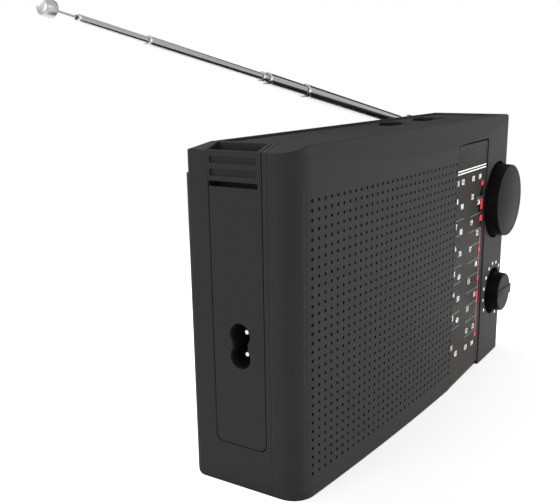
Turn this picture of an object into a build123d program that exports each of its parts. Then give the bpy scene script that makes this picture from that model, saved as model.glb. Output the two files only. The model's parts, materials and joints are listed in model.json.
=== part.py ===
from build123d import *
import math
import os

# Portable mains and battery radio with a telescopic antenna.
# Millimetres. +X right along the front, +Y to the back, +Z up.
# Origin: centre of the base, in the plane that the radio stands on.
# Sizes named ..._X are measured from the left end of the case, ..._Y from the front
# corner line of the case and ..._Z from the base; LEFT and FRONT turn them into the frame.

# ---- case -------------------------------------------------------------------------
CASE_WIDTH = 216.0
CASE_HEIGHT = 130.0
CASE_DEPTH = 49.0
FRONT_BOW = 3.0            # how far the front bulges past its corner line
WALL = 2.4
FRONT_CORNER_R = 9.0
BACK_CORNER_R = 3.0
BASE_BACK_R = 4.5
SPLIT_Y = 12.0             # joint between the front and back shells
BAND_Z = 118.5             # a flat band leans back above this height in the middle
BAND_LEAN = 0.333          # how far the band goes back for each millimetre up
STEP_DEPTH = 2.4           # the top strip of the back lies this far in
STEP_Z = 119.0
BACK_CHAMFER_Y = 5.2
BACK_CHAMFER_Z = 2.6
END_CHAMFER_X = 7.0
END_CHAMFER_Z = 2.3
TOP_PANEL_DEPTH = 0.8
TOP_PANEL_X = (10.0, 202.0)
TOP_PANEL_Y = (7.0, 39.0)
TOP_PANEL_R = 3.0
GAP = 0.3                  # clearance between parts that move past each other
RUN = 0.05                 # radial clearance of a shaft in its bearing
SEAM = 0.4                 # width of the shadow groove around an inset piece
PAST = 10.0                # how far a cut runs out past the case

# ---- grille and speaker -----------------------------------------------------------
GRILLE_WALL = 1.6
GRILLE_LEFT = 5.0
GRILLE_Z = (3.4, 114.6)
GRILLE_LEDGE = 2.0
HOLE_R = 0.7
HOLE_SIDES = 4
HOLE_COUNT = 31
FIRST_HOLE_X = 8.4
FIRST_HOLE_Z = 9.4
HOLE_PITCH_X = 4.11
HOLE_PITCH_Z = 3.4
SPEAKER_X = 74.0
SPEAKER_Z = 62.0
SPEAKER_R = 38.5
SPEAKER_SEAT_Y = 1.2
SPEAKER_RIM = 5.5          # flat rim of the basket around the cone
CONE_R = SPEAKER_R - SPEAKER_RIM
PIERCED_R = CONE_R - 5.0   # the field of through holes in front of the cone
PIERCED_STEP = 3           # every third hole goes through, the others are left out
CONE_THROAT_R = 10.0
CONE_DEPTH = 11.0
BASKET_DEPTH = 16.0
MAGNET_R = 22.5
MAGNET_LENGTH = 10.0
SHEET = 1.0                # thickness of pressed steel parts
SPEAKER_SCREW_R = SPEAKER_R + 3.1  # circle of the four clamp screws
BASKET_WINDOW_R = CONE_R - 6.0     # circle of the basket's four windows

# ---- dial -------------------------------------------------------------------------
DIAL_X = (133.6, 176.0)
DIAL_TOP_Z = 120.0
DIAL_LEFT_DEPTH = 0.25     # how far the strip lies behind the bowed front at its left edge
DIAL_RIGHT_DEPTH = 1.8
LENS_T = 1.2
LENS_GAP = 0.15
DIAL_FRAME_T = 3.0
WINDOW_EDGE = 2.0
BACKPLATE_T = 1.2
POINTER_T = 0.8
POINTER_H = 0.9
POINTER_REST_Z = 103.6
POINTER_TRAVEL = 84.0
POINTER_END_U = 36.0       # along the strip from its left edge
STEM_U = 4.0
STEM_W = 1.4

# ---- knobs ------------------------------------------------------------------------
TUNING_X = 194.7
TUNING_Z = 86.5
TUNING_R = 17.8
TUNING_FACE_Y = -7.5
TUNING_BACK_Y = 2.2
TUNING_WELL_R = 20.2
DIAL_RELIEF_R = 26.0       # the plate behind the strip is cut back this far around the knob
WELL_FLOOR_Y = 3.5
WELL_WALL = 1.6
SPINDLE_R = 3.0
VOLUME_X = 195.5
VOLUME_Z = 36.5
VOLUME_R = 10.7
VOLUME_FACE_Y = -8.4
VOLUME_WELL_R = 12.8
VOLUME_SHAFT_R = 3.0
POT_R = 8.5
POT_LENGTH = 7.0
GRIP_W = 5.2
GRIP_H = 0.6

# ---- cord drive -------------------------------------------------------------------
CORD_Y = 11.5              # plane of the cord loop
CORD_T = 0.6
SPINDLE_PITCH_R = 3.2
DRUM_X = 160.0
DRUM_Z = 86.5
DRUM_PITCH_R = 27.0
DRUM_T = 3.6
DRUM_FLANGE = 1.5
PULLEY_SETBACK = 6.0       # pulleys stand this far left of the dial strip
PULLEY_TOP_Z = 117.0
PULLEY_BOTTOM_Z = 13.0
PULLEY_PITCH_R = 4.0
PULLEY_T = 3.0
PULLEY_PIN_R = 1.5
RAIL_SETBACK = 4.4
RAIL_Y = 7.0
RAIL_R = 1.0
CHASSIS_X = (117.6, 206.0)
CHASSIS_Y = 15.0
CHASSIS_T = 1.0
CAPACITOR_SIZE = 22.0
CAPACITOR_LENGTH = 13.0

# ---- side panels, strap brackets and sockets ---------------------------------------
SIDE_Y = (14.4, 37.7)
SIDE_BOTTOM_Z = 17.0
SIDE_TOP_Z = 115.0
SIDE_T = 1.3
SIDE_CORNER_R = 3.0
STRAP_DEPTH = 7.0
STRAP_FLOOR_Z = 112.0
STRAP_WALL = 1.8
BRACKET_T = 1.8
BRACKET_BOTTOM_Z = 117.0
BAR_HEIGHTS = (1.7, 2.0, 1.7)
BAR_GAP = 2.5
BAR_GROOVE = 0.8
RAIL_W = 1.5
INLET_Y = 25.5
INLET_Z = 57.0
INLET_LOBE_R = 4.5
INLET_WAIST = 3.5
INLET_DEPTH = 12.0
INLET_BODY = (14.0, 12.4, 22.0)
PIN_SPACING = 8.6
PIN_R = 1.18
PIN_LENGTH = 9.0
PIN_TAIL = 6.0
JACK_R = 1.8
JACK_NUT_R = 3.6
JACK_BODY = 8.0
JACK_LENGTH = 12.0

# ---- battery bay --------------------------------------------------------------------
CELL_R = 13.1
CELL_LENGTH = 50.0
CELL_NUB_R = 3.2
CELL_NUB = 1.5
CELLS = 3
CELL_CLEARANCE = 0.3
SPRING_LENGTH = 6.0
CONTACT_T = 0.5
BAY_X = 27.0
BAY_FLOOR_Z = 7.6
BAY_WALL = 1.6
DOOR_T = 2.0
DOOR_LAP = 3.0
DOOR_GAP = 0.2
DOOR_SEAT_GAP = 0.1
DOOR_BOTTOM_LAP = 1.8
PEG_R = 0.6
PEG_LENGTH = 1.4

# ---- antenna ------------------------------------------------------------------------
ANTENNA_X = 184.0
ANTENNA_Z = 126.0
ANTENNA_AXIS_Y = 50.0
ANTENNA_RISE = 11.0        # degrees above the case top, towards the left
SWIVEL_R = 4.0
SWIVEL_FACE_Y = 46.8
SWIVEL_T = 1.5
FORK_GAP = 2.0
FORK_CHEEK = 1.5
FORK_R = 2.9
STEM_R = 2.0
STEM_GROOVE = 0.6
STEM_LENGTH = 6.0
TUBE_START = 5.0
TUBE_LENGTH = 96.5         # thick tube, from its start to its open end
TUBE_R = (3.0, 2.5, 2.0, 1.55, 1.1, 0.65)
TUBE_WALL = 0.45
EXTENSION = (29.4, 4.3, 66.7, 31.1, 8.7)   # length of each thinner section that shows
SECTION_STEP = 1.5         # each section is this much shorter than the one around it
TIP_R = 2.1
TIP_LENGTH = 4.6

# ---- top switches ---------------------------------------------------------------------
SWITCH_Y = 25.5
SWITCH_SLOT_W = 2.6
SWITCH_WELL_W = 8.0
SWITCH_WELL_DEPTH = 0.8
BAND_X = (150.0, 178.0)
MODE_X = (114.0, 134.0)
BAND_STEPS = 3
MODE_STEPS = 1
SWITCH_PITCH = 4.5
SLIDER_LENGTH = 10.0
SLIDER_W = 6.0
SLIDER_H = 1.9
SWITCH_BODY_H = 6.0
SWITCH_BODY_W = 9.0

# ---- boards and other inner pieces ------------------------------------------------------
BOARD_X = (112.0, 196.0)
BOARD_Z = (44.0, 108.0)
BOARD_Y = 31.0
BOARD_T = 1.6
FERRITE_R = 5.0
FERRITE_X = (40.0, 150.0)
FERRITE_Y = 38.0
FERRITE_Z = 116.0
TRANSFORMER_X = (11.0, 46.0)
TRANSFORMER_Y = (25.0, 43.0)
TRANSFORMER_Z = (76.0, 106.0)
BOSS_R = 4.0
SCREW_R = 1.45
SCREW_HOLE_R = 1.5
HEAD_R = 2.9
HEAD_H = 2.0
CASE_SCREWS = ((13.5, 120.0), (202.0, 120.0), (12.0, 9.0), (204.0, 9.0))
SCREW_SEAT_Y = 18.0
CHASSIS_SCREWS = (
    (CHASSIS_X[0] + 4.0, 123.6), (183.0, 119.0), (195.0, 57.4), (CHASSIS_X[0] + 4.0, 6.6))

LEFT = -CASE_WIDTH / 2
RIGHT = CASE_WIDTH / 2
FRONT = -CASE_DEPTH / 2
BACK = CASE_DEPTH / 2
GRILLE_X = (GRILLE_LEFT, DIAL_X[0] - 0.4)
PULLEY_X = DIAL_X[0] - PULLEY_SETBACK
RAIL_X = DIAL_X[0] - RAIL_SETBACK
RETAINER_Y = SWIVEL_FACE_Y - SWIVEL_T - 2.5
BAY_LENGTH = CELLS * CELL_LENGTH + SPRING_LENGTH + 2 * CONTACT_T + 1.0
BAY_HEIGHT = 2 * (CELL_R + CELL_CLEARANCE) + 1.0
DOOR_BOTTOM_Z = BAY_FLOOR_Z - DOOR_BOTTOM_LAP
DOOR_TOP_Z = BAY_FLOOR_Z + BAY_HEIGHT + DOOR_LAP
HINGE_Y = CASE_DEPTH - DOOR_T / 2
HINGE_Z = DOOR_BOTTOM_Z + DOOR_GAP + DOOR_T / 2
CELL_Y = CASE_DEPTH - DOOR_T - CELL_CLEARANCE - CELL_R
CELL_Z = BAY_FLOOR_Z + CELL_CLEARANCE + CELL_R
BAY_FRONT_Y = CELL_Y - CELL_R - CELL_CLEARANCE


# ---- small helpers ------------------------------------------------------------------------
def block(x, y, z):
    """Box between pairs of sizes, with x from the left end and y from the corner line."""
    size = (x[1] - x[0], y[1] - y[0], z[1] - z[0])
    centre = (LEFT + (x[0] + x[1]) / 2, FRONT + (y[0] + y[1]) / 2, (z[0] + z[1]) / 2)
    return Pos(*centre) * Box(*size)


def rod_y(x, z, radius, y0, y1):
    """Cylinder along Y."""
    middle = Pos(LEFT + x, FRONT + (y0 + y1) / 2, z)
    return middle * Rot(90, 0, 0) * Cylinder(radius, y1 - y0)


def post_y(x, z, radius, y0, y1, sides=8):
    """Many-sided post along Y, with its corners on the radius."""
    middle = Pos(LEFT + x, FRONT + (y0 + y1) / 2, z)
    outline = RegularPolygon(radius, sides)
    return middle * Rot(90, 0, 0) * extrude(outline, (y1 - y0) / 2, both=True)


def rod_x(y, z, radius, x0, x1):
    """Cylinder along X."""
    middle = Pos(LEFT + (x0 + x1) / 2, FRONT + y, z)
    return middle * Rot(0, 90, 0) * Cylinder(radius, x1 - x0)


def rod_z(x, y, radius, z0, z1):
    """Cylinder along Z."""
    return Pos(LEFT + x, FRONT + y, (z0 + z1) / 2) * Cylinder(radius, z1 - z0)


def from_front(sketch, y0, y1):
    """Extrude a sketch drawn in X and Z (frame values) from y0 to y1."""
    return extrude(Plane.XZ.offset(-(FRONT + y0)) * sketch, -(y1 - y0))


def turned(x, z, y_start, profile):
    """Solid of revolution about a Y line; the profile is (radius, depth from y_start)."""
    face = make_face(Polyline(*profile, close=True))
    spun = revolve(face, Axis.Y, 360)
    return Pos(LEFT + x, FRONT + y_start, z) * spun


def mirrored(part):
    """The same part at the other end of the case."""
    return mirror(part, about=Plane.YZ)


def bow_y(x):
    """Depth of the bowed front at a distance from the left end."""
    share = (x - CASE_WIDTH / 2) / (CASE_WIDTH / 2)
    return -FRONT_BOW * (1 - share * share)


# ---- case form ----------------------------------------------------------------------------
def plan_face(inset):
    """Plan of the case, drawn in by inset: bowed front and round corners."""
    left, right = LEFT + inset, RIGHT - inset
    front, back = FRONT + inset, BACK - inset
    bow = ThreePointArc((left, front), (0, front - FRONT_BOW), (right, front))
    sides = Polyline((right, front), (right, back), (left, back), (left, front))
    face = make_face(bow + sides)
    front_corners = face.vertices().sort_by(Axis.Y)[:2]
    face = fillet(front_corners, FRONT_CORNER_R - inset)
    back_corners = face.vertices().sort_by(Axis.Y)[-2:]
    return fillet(back_corners, BACK_CORNER_R - inset)


def side_face(inset):
    """Side view: round lower back edge, stepped and chamfered upper back, leaning front band."""
    front = FRONT - FRONT_BOW - 5
    lean = FRONT - FRONT_BOW + inset * math.hypot(1, BAND_LEAN)
    back, strip = BACK - inset, BACK - STEP_DEPTH - inset
    base, top = inset, CASE_HEIGHT - inset
    radius = BASE_BACK_R - inset
    step = STEP_Z - inset
    curve = RadiusArc((back - radius, base), (back, base + radius), -radius)
    outline = Polyline(
        (back, base + radius),
        (back, step),
        (strip, step),
        (strip, top - BACK_CHAMFER_Z),
        (strip - BACK_CHAMFER_Y, top),
        (lean + (top - BAND_Z) * BAND_LEAN, top),
        (front, BAND_Z - (lean - front) / BAND_LEAN),
        (front, base),
        (back - radius, base),
    )
    return make_face(curve + outline)


def end_face(inset):
    """Front view of the case: chamfered upper ends."""
    left, right = LEFT + inset, RIGHT - inset
    base, top = inset, CASE_HEIGHT - inset
    return make_face(Polyline(
        (left, base), (right, base),
        (right, top - END_CHAMFER_Z), (right - END_CHAMFER_X, top),
        (left + END_CHAMFER_X, top), (left, top - END_CHAMFER_Z),
        close=True,
    ))


def case_form(inset):
    """Outer form of the closed case, drawn in by inset on every side."""
    plan = extrude(plan_face(inset), CASE_HEIGHT)
    side = extrude(Plane.YZ.offset(LEFT) * side_face(inset), CASE_WIDTH)
    ends = from_front(end_face(inset), -FRONT_BOW - 5, CASE_DEPTH + 5)
    return plan & side & ends


OUTER = case_form(0)
INNER = case_form(WALL)
FRONT_HALF = block((-5, CASE_WIDTH + 5), (-FRONT_BOW - 5, SPLIT_Y), (-5, CASE_HEIGHT + 5))
BACK_HALF = block((-5, CASE_WIDTH + 5), (SPLIT_Y, CASE_DEPTH + 5), (-5, CASE_HEIGHT + 5))


def top_panel_recess():
    """Long shallow recess in the top of both shells."""
    width = TOP_PANEL_X[1] - TOP_PANEL_X[0]
    depth = TOP_PANEL_Y[1] - TOP_PANEL_Y[0]
    plan = Pos(LEFT + sum(TOP_PANEL_X) / 2, FRONT + sum(TOP_PANEL_Y) / 2) \
        * RectangleRounded(width, depth, TOP_PANEL_R)
    return extrude(Plane.XY.offset(CASE_HEIGHT - TOP_PANEL_DEPTH) * plan, 5)


# ---- dial strip ------------------------------------------------------------------------------
def dial_frame():
    """Local frame of the sloping dial strip: x along it, y into the case, z up."""
    start = bow_y(DIAL_X[0]) + DIAL_LEFT_DEPTH
    end = bow_y(DIAL_X[1]) + DIAL_RIGHT_DEPTH
    slope = math.degrees(math.atan2(end - start, DIAL_X[1] - DIAL_X[0]))
    return Location((LEFT + DIAL_X[0], FRONT + start, 0), (0, 0, slope))


DIAL = dial_frame()
DIAL_W = (DIAL_X[1] - DIAL_X[0]) / math.cos(math.radians(DIAL.orientation.Z))


def dial_block(u, v, z, round_top=0.0):
    """Box in the frame of the dial strip, with round upper corners if asked for."""
    size = (u[1] - u[0], v[1] - v[0], z[1] - z[0])
    centre = ((u[0] + u[1]) / 2, (v[0] + v[1]) / 2, (z[0] + z[1]) / 2)
    box = Pos(*centre) * Box(*size)
    if round_top:
        upper = box.edges().filter_by(Axis.Y).sort_by(Axis.Z)[-2:]
        box = fillet(upper, round_top)
    return DIAL * box


def dial_channel():
    """Space in front of the strip, with a soft upper ledge, open at the base."""
    return dial_block((0, DIAL_W), (-8, 0), (-1, DIAL_TOP_Z), round_top=2.0)


def dial_lens():
    top = DIAL_TOP_Z - LENS_GAP - 0.6
    u = (LENS_GAP, DIAL_W - LENS_GAP)
    return dial_block(u, (0, LENS_T), (WALL + LENS_GAP, top), round_top=1.5)


def dial_backplate():
    """Plain plate behind the strip, cut round at the tuning well, with a pointer slot."""
    plate = dial_block(
        (-1, DIAL_W + 1), (DIAL_FRAME_T, DIAL_FRAME_T + BACKPLATE_T),
        (WALL + 2, DIAL_TOP_Z + 1))
    relief = rod_y(TUNING_X, TUNING_Z, DIAL_RELIEF_R, -10, 20)
    slot_top = POINTER_REST_Z + POINTER_H / 2 + 1.5
    slot_bottom = POINTER_REST_Z - POINTER_TRAVEL - POINTER_H / 2 - 1.5
    slot = dial_block((STEM_U - 0.6, STEM_U + STEM_W + 0.6), (0, 9), (slot_bottom, slot_top))
    return plate - relief - slot


def dial_pointer():
    """Pointer blade, its stem through the backplate and its carriage on the rail."""
    blade_v = (LENS_T + DIAL_FRAME_T - POINTER_T) / 2
    half = POINTER_H / 2
    rest = (POINTER_REST_Z - half, POINTER_REST_Z + half)
    blade = dial_block((STEM_U, POINTER_END_U), (blade_v, blade_v + POINTER_T), rest)
    stem = dial_block((STEM_U, STEM_U + STEM_W), (blade_v, RAIL_Y + 1), rest)
    arm = block(
        (RAIL_X - 2.2, DIAL_X[0] + STEM_U + 1.0), (RAIL_Y - 1.6, RAIL_Y + 1.6), rest)
    carriage = block(
        (RAIL_X - 2.4, RAIL_X + 2.4), (RAIL_Y - 2.2, RAIL_Y + 1.5),
        (POINTER_REST_Z - 4, POINTER_REST_Z + 4))
    cord_x = PULLEY_X - PULLEY_PITCH_R
    clip = block(
        (cord_x - 1.6, RAIL_X - 2.2), (RAIL_Y - 0.9, RAIL_Y + 0.9),
        (POINTER_REST_Z - 2, POINTER_REST_Z + 2))
    clip += block(
        (cord_x - 1.6, cord_x - 0.5), (RAIL_Y, CORD_Y + 1.0),
        (POINTER_REST_Z - 2, POINTER_REST_Z + 2))
    bore = rod_z(RAIL_X, RAIL_Y, RAIL_R + RUN, 0, CASE_HEIGHT)
    return blade + stem + arm + carriage + clip - bore


# ---- front shell ----------------------------------------------------------------------------
def grille_blank():
    """Outer skin of the front inside the grille's outline."""
    window = block(GRILLE_X, (-FRONT_BOW - 5, SPLIT_Y), GRILLE_Z)
    return (OUTER - case_form(GRILLE_WALL)) & window


def grille_window():
    """Opening behind the grille, smaller all round by the ledge that it rests on."""
    x = (GRILLE_X[0] + GRILLE_LEDGE, GRILLE_X[1] - GRILLE_LEDGE)
    z = (GRILLE_Z[0] + GRILLE_LEDGE, GRILLE_Z[1] - GRILLE_LEDGE)
    return block(x, (-FRONT_BOW - 5, SPLIT_Y), z)


def screw_places(radius, count=4):
    """Clamp screws around the speaker, at 45 degrees and on."""
    for i in range(count):
        angle = math.radians(45 + i * 360 / count)
        yield SPEAKER_X + radius * math.cos(angle), SPEAKER_Z + radius * math.sin(angle)


def speaker_grille():
    """Bowed plate pierced in rows where the speaker's cone lies behind it."""
    plate = grille_blank()
    for x, z in screw_places(SPEAKER_SCREW_R):
        boss = post_y(x, z, 2.6, -FRONT_BOW, SPEAKER_SEAT_Y + SHEET) & case_form(0.5)
        plate += boss - post_y(x, z, 1.25, -0.4, 20)
    holes = Sketch()
    hole = RegularPolygon(HOLE_R, HOLE_SIDES)
    for i in range(0, HOLE_COUNT, PIERCED_STEP):
        for j in range(0, HOLE_COUNT, PIERCED_STEP):
            x = FIRST_HOLE_X + i * HOLE_PITCH_X
            z = FIRST_HOLE_Z + j * HOLE_PITCH_Z
            if math.hypot(x - SPEAKER_X, z - SPEAKER_Z) < PIERCED_R:
                holes += Pos(LEFT + x, z) * hole
    return plate - from_front(holes, -FRONT_BOW - 1, SPEAKER_SEAT_Y)


def well_cup(x, z, radius):
    """Round cup behind a knob, trimmed to the case."""
    cup = rod_y(x, z, radius + WELL_WALL, -FRONT_BOW - 5, WELL_FLOOR_Y + WELL_WALL)
    return cup & OUTER


def shell_post(x, z, radius, start, end):
    """Screw post from the front wall; one behind the grille stands on the floor instead."""
    post = post_y(x, z, radius, start, end)
    if z < BOSS_R + 6:
        post += block((x - radius, x + radius), (start, SPLIT_Y), (0, z))
    return post & case_form(GRILLE_WALL + GAP)


def front_shell():
    shell = (OUTER & FRONT_HALF) - INNER
    frame = dial_block((-3, DIAL_W + 3), (-8, DIAL_FRAME_T), (0, DIAL_TOP_Z + 3)) & OUTER
    shell += frame
    shell -= dial_channel()
    lens_seat = dial_block((0, DIAL_W), (-1, LENS_T), (WALL, DIAL_TOP_Z - 0.6))
    window = dial_block(
        (WINDOW_EDGE, DIAL_W - WINDOW_EDGE), (-1, 9),
        (WALL + WINDOW_EDGE, DIAL_TOP_Z - 0.6 - WINDOW_EDGE))
    shell -= lens_seat
    shell -= window
    wells = ((TUNING_X, TUNING_Z, TUNING_WELL_R), (VOLUME_X, VOLUME_Z, VOLUME_WELL_R))
    for x, z, radius in wells:
        strip = dial_block((0, DIAL_W), (-8, LENS_T + 0.2), (-1, DIAL_TOP_Z))
        shell += well_cup(x, z, radius) - strip
        shell -= rod_y(x, z, radius, -FRONT_BOW - 5, WELL_FLOOR_Y)
        shell -= rod_y(x, z, SPINDLE_R + 0.8, 0, 20)
    shell -= grille_blank()
    shell -= grille_window()
    for x, z in CASE_SCREWS:
        shell += shell_post(x, z, BOSS_R, 0, SPLIT_Y)
        shell -= post_y(x, z, SCREW_HOLE_R, 2, SPLIT_Y + 1)
    for x, z in CHASSIS_SCREWS:
        in_well = z < TUNING_Z and x > DIAL_X[1]
        shell += shell_post(x, z, BOSS_R - 0.8, WELL_FLOOR_Y - 2 if in_well else -2, CHASSIS_Y)
        shell -= post_y(x, z, 1.25, CHASSIS_Y - 9, CHASSIS_Y + 1)
    return shell - top_panel_recess()


# ---- back shell -----------------------------------------------------------------------------
def side_recess(depth, gap):
    """Recess for a side panel at the left end, running up to the strap pocket."""
    width = SIDE_Y[1] - SIDE_Y[0] - 2 * gap
    height = SIDE_TOP_Z - SIDE_BOTTOM_Z - gap
    centre = (FRONT + sum(SIDE_Y) / 2, SIDE_BOTTOM_Z + gap + height / 2)
    outline = Pos(*centre) * Rectangle(width, height)
    lower = outline.vertices().sort_by(Axis.Y)[:2]
    outline = fillet(lower, SIDE_CORNER_R)
    return extrude(Plane.YZ.offset(LEFT) * outline, depth)


def strap_pocket():
    """Space that the strap passes through, open at the top and at the side slot."""
    return block((-1, STRAP_DEPTH), SIDE_Y, (STRAP_FLOOR_Z, CASE_HEIGHT + 5)) \
        - block((-1, SIDE_T), SIDE_Y, (STRAP_FLOOR_Z - 1, SIDE_TOP_Z))


def switch_well(x):
    """Shallow well in the top around a slide switch."""
    half = SWITCH_WELL_W / 2
    floor = CASE_HEIGHT - TOP_PANEL_DEPTH - SWITCH_WELL_DEPTH
    return block(x, (SWITCH_Y - half, SWITCH_Y + half), (floor, CASE_HEIGHT + 1))


def switch_slot(x, steps):
    """Slot for the stem of a slider that moves over a number of steps."""
    start = x[0] + 3.0
    length = steps * SWITCH_PITCH + 3.0 + 2 * GAP
    half = SWITCH_SLOT_W / 2 + GAP
    return block((start - GAP, start + length), (SWITCH_Y - half, SWITCH_Y + half), (110, 135))


def battery_bay_walls():
    x = (BAY_X - BAY_WALL, BAY_X + BAY_LENGTH + BAY_WALL)
    z = (BAY_FLOOR_Z - BAY_WALL, BAY_FLOOR_Z + BAY_HEIGHT + BAY_WALL)
    tub = block(x, (BAY_FRONT_Y - BAY_WALL, CASE_DEPTH), z)
    rim_x = (BAY_X - DOOR_LAP - 2, BAY_X + BAY_LENGTH + DOOR_LAP + 2)
    rim = block(rim_x, (CASE_DEPTH - DOOR_T - 1.6, CASE_DEPTH), (0, DOOR_TOP_Z + 2))
    return (tub + rim) & OUTER


def battery_bay_space():
    x = (BAY_X, BAY_X + BAY_LENGTH)
    z = (BAY_FLOOR_Z, BAY_FLOOR_Z + BAY_HEIGHT)
    return block(x, (BAY_FRONT_Y, CASE_DEPTH + 5), z)


def battery_door():
    """Lid of the battery bay: round lower edge with a peg at each end, ribbed thumb grip."""
    x = (BAY_X - DOOR_LAP + DOOR_GAP, BAY_X + BAY_LENGTH + DOOR_LAP - DOOR_GAP)
    z = (DOOR_BOTTOM_Z + DOOR_GAP, DOOR_TOP_Z - DOOR_GAP)
    door = block(x, (CASE_DEPTH - DOOR_T, CASE_DEPTH), z)
    lower = door.edges().filter_by(Axis.X).sort_by(Axis.Z)[:2]
    door = fillet(lower, DOOR_T / 2 - 0.01)
    door += rod_x(HINGE_Y, HINGE_Z, PEG_R, x[0] - PEG_LENGTH, x[1] + PEG_LENGTH)
    middle = BAY_X + BAY_LENGTH / 2
    for i in range(5):
        z = DOOR_TOP_Z - 5.0 - i * 1.8
        door -= block((middle - 9, middle + 9), (CASE_DEPTH - 0.6, CASE_DEPTH + 1), (z, z + 0.9))
    return door


def back_shell():
    shell = (OUTER & BACK_HALF) - INNER
    for flip in (False, True):
        cheek = block(
            (0, STRAP_DEPTH + STRAP_WALL),
            (SIDE_Y[0] - STRAP_WALL, SIDE_Y[1] + STRAP_WALL),
            (STRAP_FLOOR_Z - STRAP_WALL, CASE_HEIGHT)) & OUTER
        recess = side_recess(SIDE_T, 0)
        pocket = strap_pocket()
        shell += mirrored(cheek) if flip else cheek
        shell -= mirrored(recess) if flip else recess
        shell -= mirrored(pocket) if flip else pocket
    shell += battery_bay_walls()
    shell -= battery_bay_space()
    shell -= block(
        (BAY_X - DOOR_LAP, BAY_X + BAY_LENGTH + DOOR_LAP),
        (CASE_DEPTH - DOOR_T - DOOR_SEAT_GAP, CASE_DEPTH + 5), (DOOR_BOTTOM_Z, DOOR_TOP_Z))
    reach = (BAY_X - DOOR_LAP - PEG_LENGTH - RUN, BAY_X + BAY_LENGTH + DOOR_LAP + PEG_LENGTH + RUN)
    shell -= rod_x(HINGE_Y, HINGE_Z, PEG_R + RUN, *reach)
    for x, z in CASE_SCREWS:
        shell += post_y(x, z, BOSS_R + 0.3, SPLIT_Y, CASE_DEPTH) & OUTER
        shell -= rod_y(x, z, HEAD_R + GAP, SCREW_SEAT_Y, CASE_DEPTH + 5)
        shell -= post_y(x, z, SCREW_HOLE_R, SPLIT_Y - 1, CASE_DEPTH)
    shell -= block(
        (-1, WALL + 1), (INLET_Y - INLET_BODY[1] / 2, INLET_Y + INLET_BODY[1] / 2),
        (INLET_Z - INLET_BODY[2] / 2, INLET_Z + INLET_BODY[2] / 2))
    shell -= rod_x(INLET_Y, INLET_Z, JACK_NUT_R, CASE_WIDTH - WALL - 1, CASE_WIDTH + 1)
    seat_floor = SWIVEL_FACE_Y - SWIVEL_T - 0.1
    shell += rod_y(ANTENNA_X, ANTENNA_Z, SWIVEL_R + 2, RETAINER_Y, CASE_DEPTH) & OUTER
    shell -= rod_y(ANTENNA_X, ANTENNA_Z, SWIVEL_R + 0.1, seat_floor, CASE_DEPTH + 5)
    shell -= rod_y(ANTENNA_X, ANTENNA_Z, STEM_R + RUN, seat_floor - 9, CASE_DEPTH)
    shell -= top_panel_recess()
    for x, steps in ((BAND_X, BAND_STEPS), (MODE_X, MODE_STEPS)):
        shell -= switch_well(x)
        shell -= switch_slot(x, steps)
    for x in (BOARD_X[0] + 4, BOARD_X[1] - 4):
        for z in (BOARD_Z[0] + 4, BOARD_Z[1] - 4):
            shell += post_y(x, z, 3.0, BOARD_Y + BOARD_T, CASE_DEPTH - WALL)
            shell -= post_y(x, z, 1.25, BOARD_Y, BOARD_Y + 10)
    for x in (TRANSFORMER_X[0] + 3, TRANSFORMER_X[1] - 3):
        for z in (TRANSFORMER_Z[0] + 3, TRANSFORMER_Z[1] - 3):
            shell += post_y(x, z, 2.8, TRANSFORMER_Y[1], CASE_DEPTH - WALL)
    return shell


# ---- side pieces ------------------------------------------------------------------------------
def inlet_opening(x0, x1, grow=0.0):
    """Figure-eight socket opening along X at the left end."""
    lobes = Sketch()
    for side in (-1, 1):
        lobes += Pos(FRONT + INLET_Y, INLET_Z + side * PIN_SPACING / 2) * Circle(INLET_LOBE_R + grow)
    waist = Pos(FRONT + INLET_Y, INLET_Z) * Rectangle(2 * (INLET_WAIST + grow), PIN_SPACING)
    return extrude(Plane.YZ.offset(LEFT + x0) * (lobes + waist), x1 - x0)


def side_panel_left():
    return side_recess(SIDE_T, SEAM) - inlet_opening(-1, SIDE_T + 1)


def side_panel_right():
    hole = rod_x(INLET_Y, INLET_Z, JACK_NUT_R, CASE_WIDTH - SIDE_T - 1, CASE_WIDTH + 1)
    return mirrored(side_recess(SIDE_T, SEAM)) - hole


def strap_bracket():
    """Ribbed bridge over the strap pocket with a rail along its front side."""
    back = SIDE_Y[1]
    front = SIDE_Y[0] + SEAM
    plate = block((0, BRACKET_T), (front, back), (BRACKET_BOTTOM_Z, CASE_HEIGHT))
    rail = block((0, STRAP_DEPTH), (front, front + RAIL_W), (SIDE_TOP_Z, CASE_HEIGHT))
    bracket = (plate + rail) & OUTER
    above = (CASE_HEIGHT - END_CHAMFER_Z, CASE_HEIGHT + PAST)
    bracket -= block((0, STRAP_DEPTH + 1), (front + RAIL_W, back + 1), above)
    z = BRACKET_BOTTOM_Z + BAR_HEIGHTS[0]
    for height in BAR_HEIGHTS[1:]:
        bracket -= block((-1, BAR_GROOVE), (front + RAIL_W + 0.4, back - 0.8), (z, z + BAR_GAP))
        z += BAR_GAP + height
    return bracket


def mains_inlet():
    """Two-pin socket body behind the left side panel."""
    depth, width, height = INLET_BODY
    body = block(
        (SIDE_T, SIDE_T + depth), (INLET_Y - width / 2, INLET_Y + width / 2),
        (INLET_Z - height / 2, INLET_Z + height / 2))
    body -= inlet_opening(SIDE_T - 1, SIDE_T + INLET_DEPTH)
    for side in (-1, 1):
        z = INLET_Z + side * PIN_SPACING / 2
        body -= rod_x(INLET_Y, z, PIN_R, SIDE_T, SIDE_T + depth + 1)
    return body


def inlet_pins():
    """Pair of round contact pins with tails behind the socket."""
    back = SIDE_T + INLET_DEPTH
    pins = []
    for side in (-1, 1):
        z = INLET_Z + side * PIN_SPACING / 2
        pin = rod_x(INLET_Y, z, PIN_R, back - PIN_LENGTH, back + PIN_TAIL)
        tip = pin.faces().sort_by(Axis.X)[0].edges()
        pins.append(chamfer(tip, 0.4))
    return pins


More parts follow.
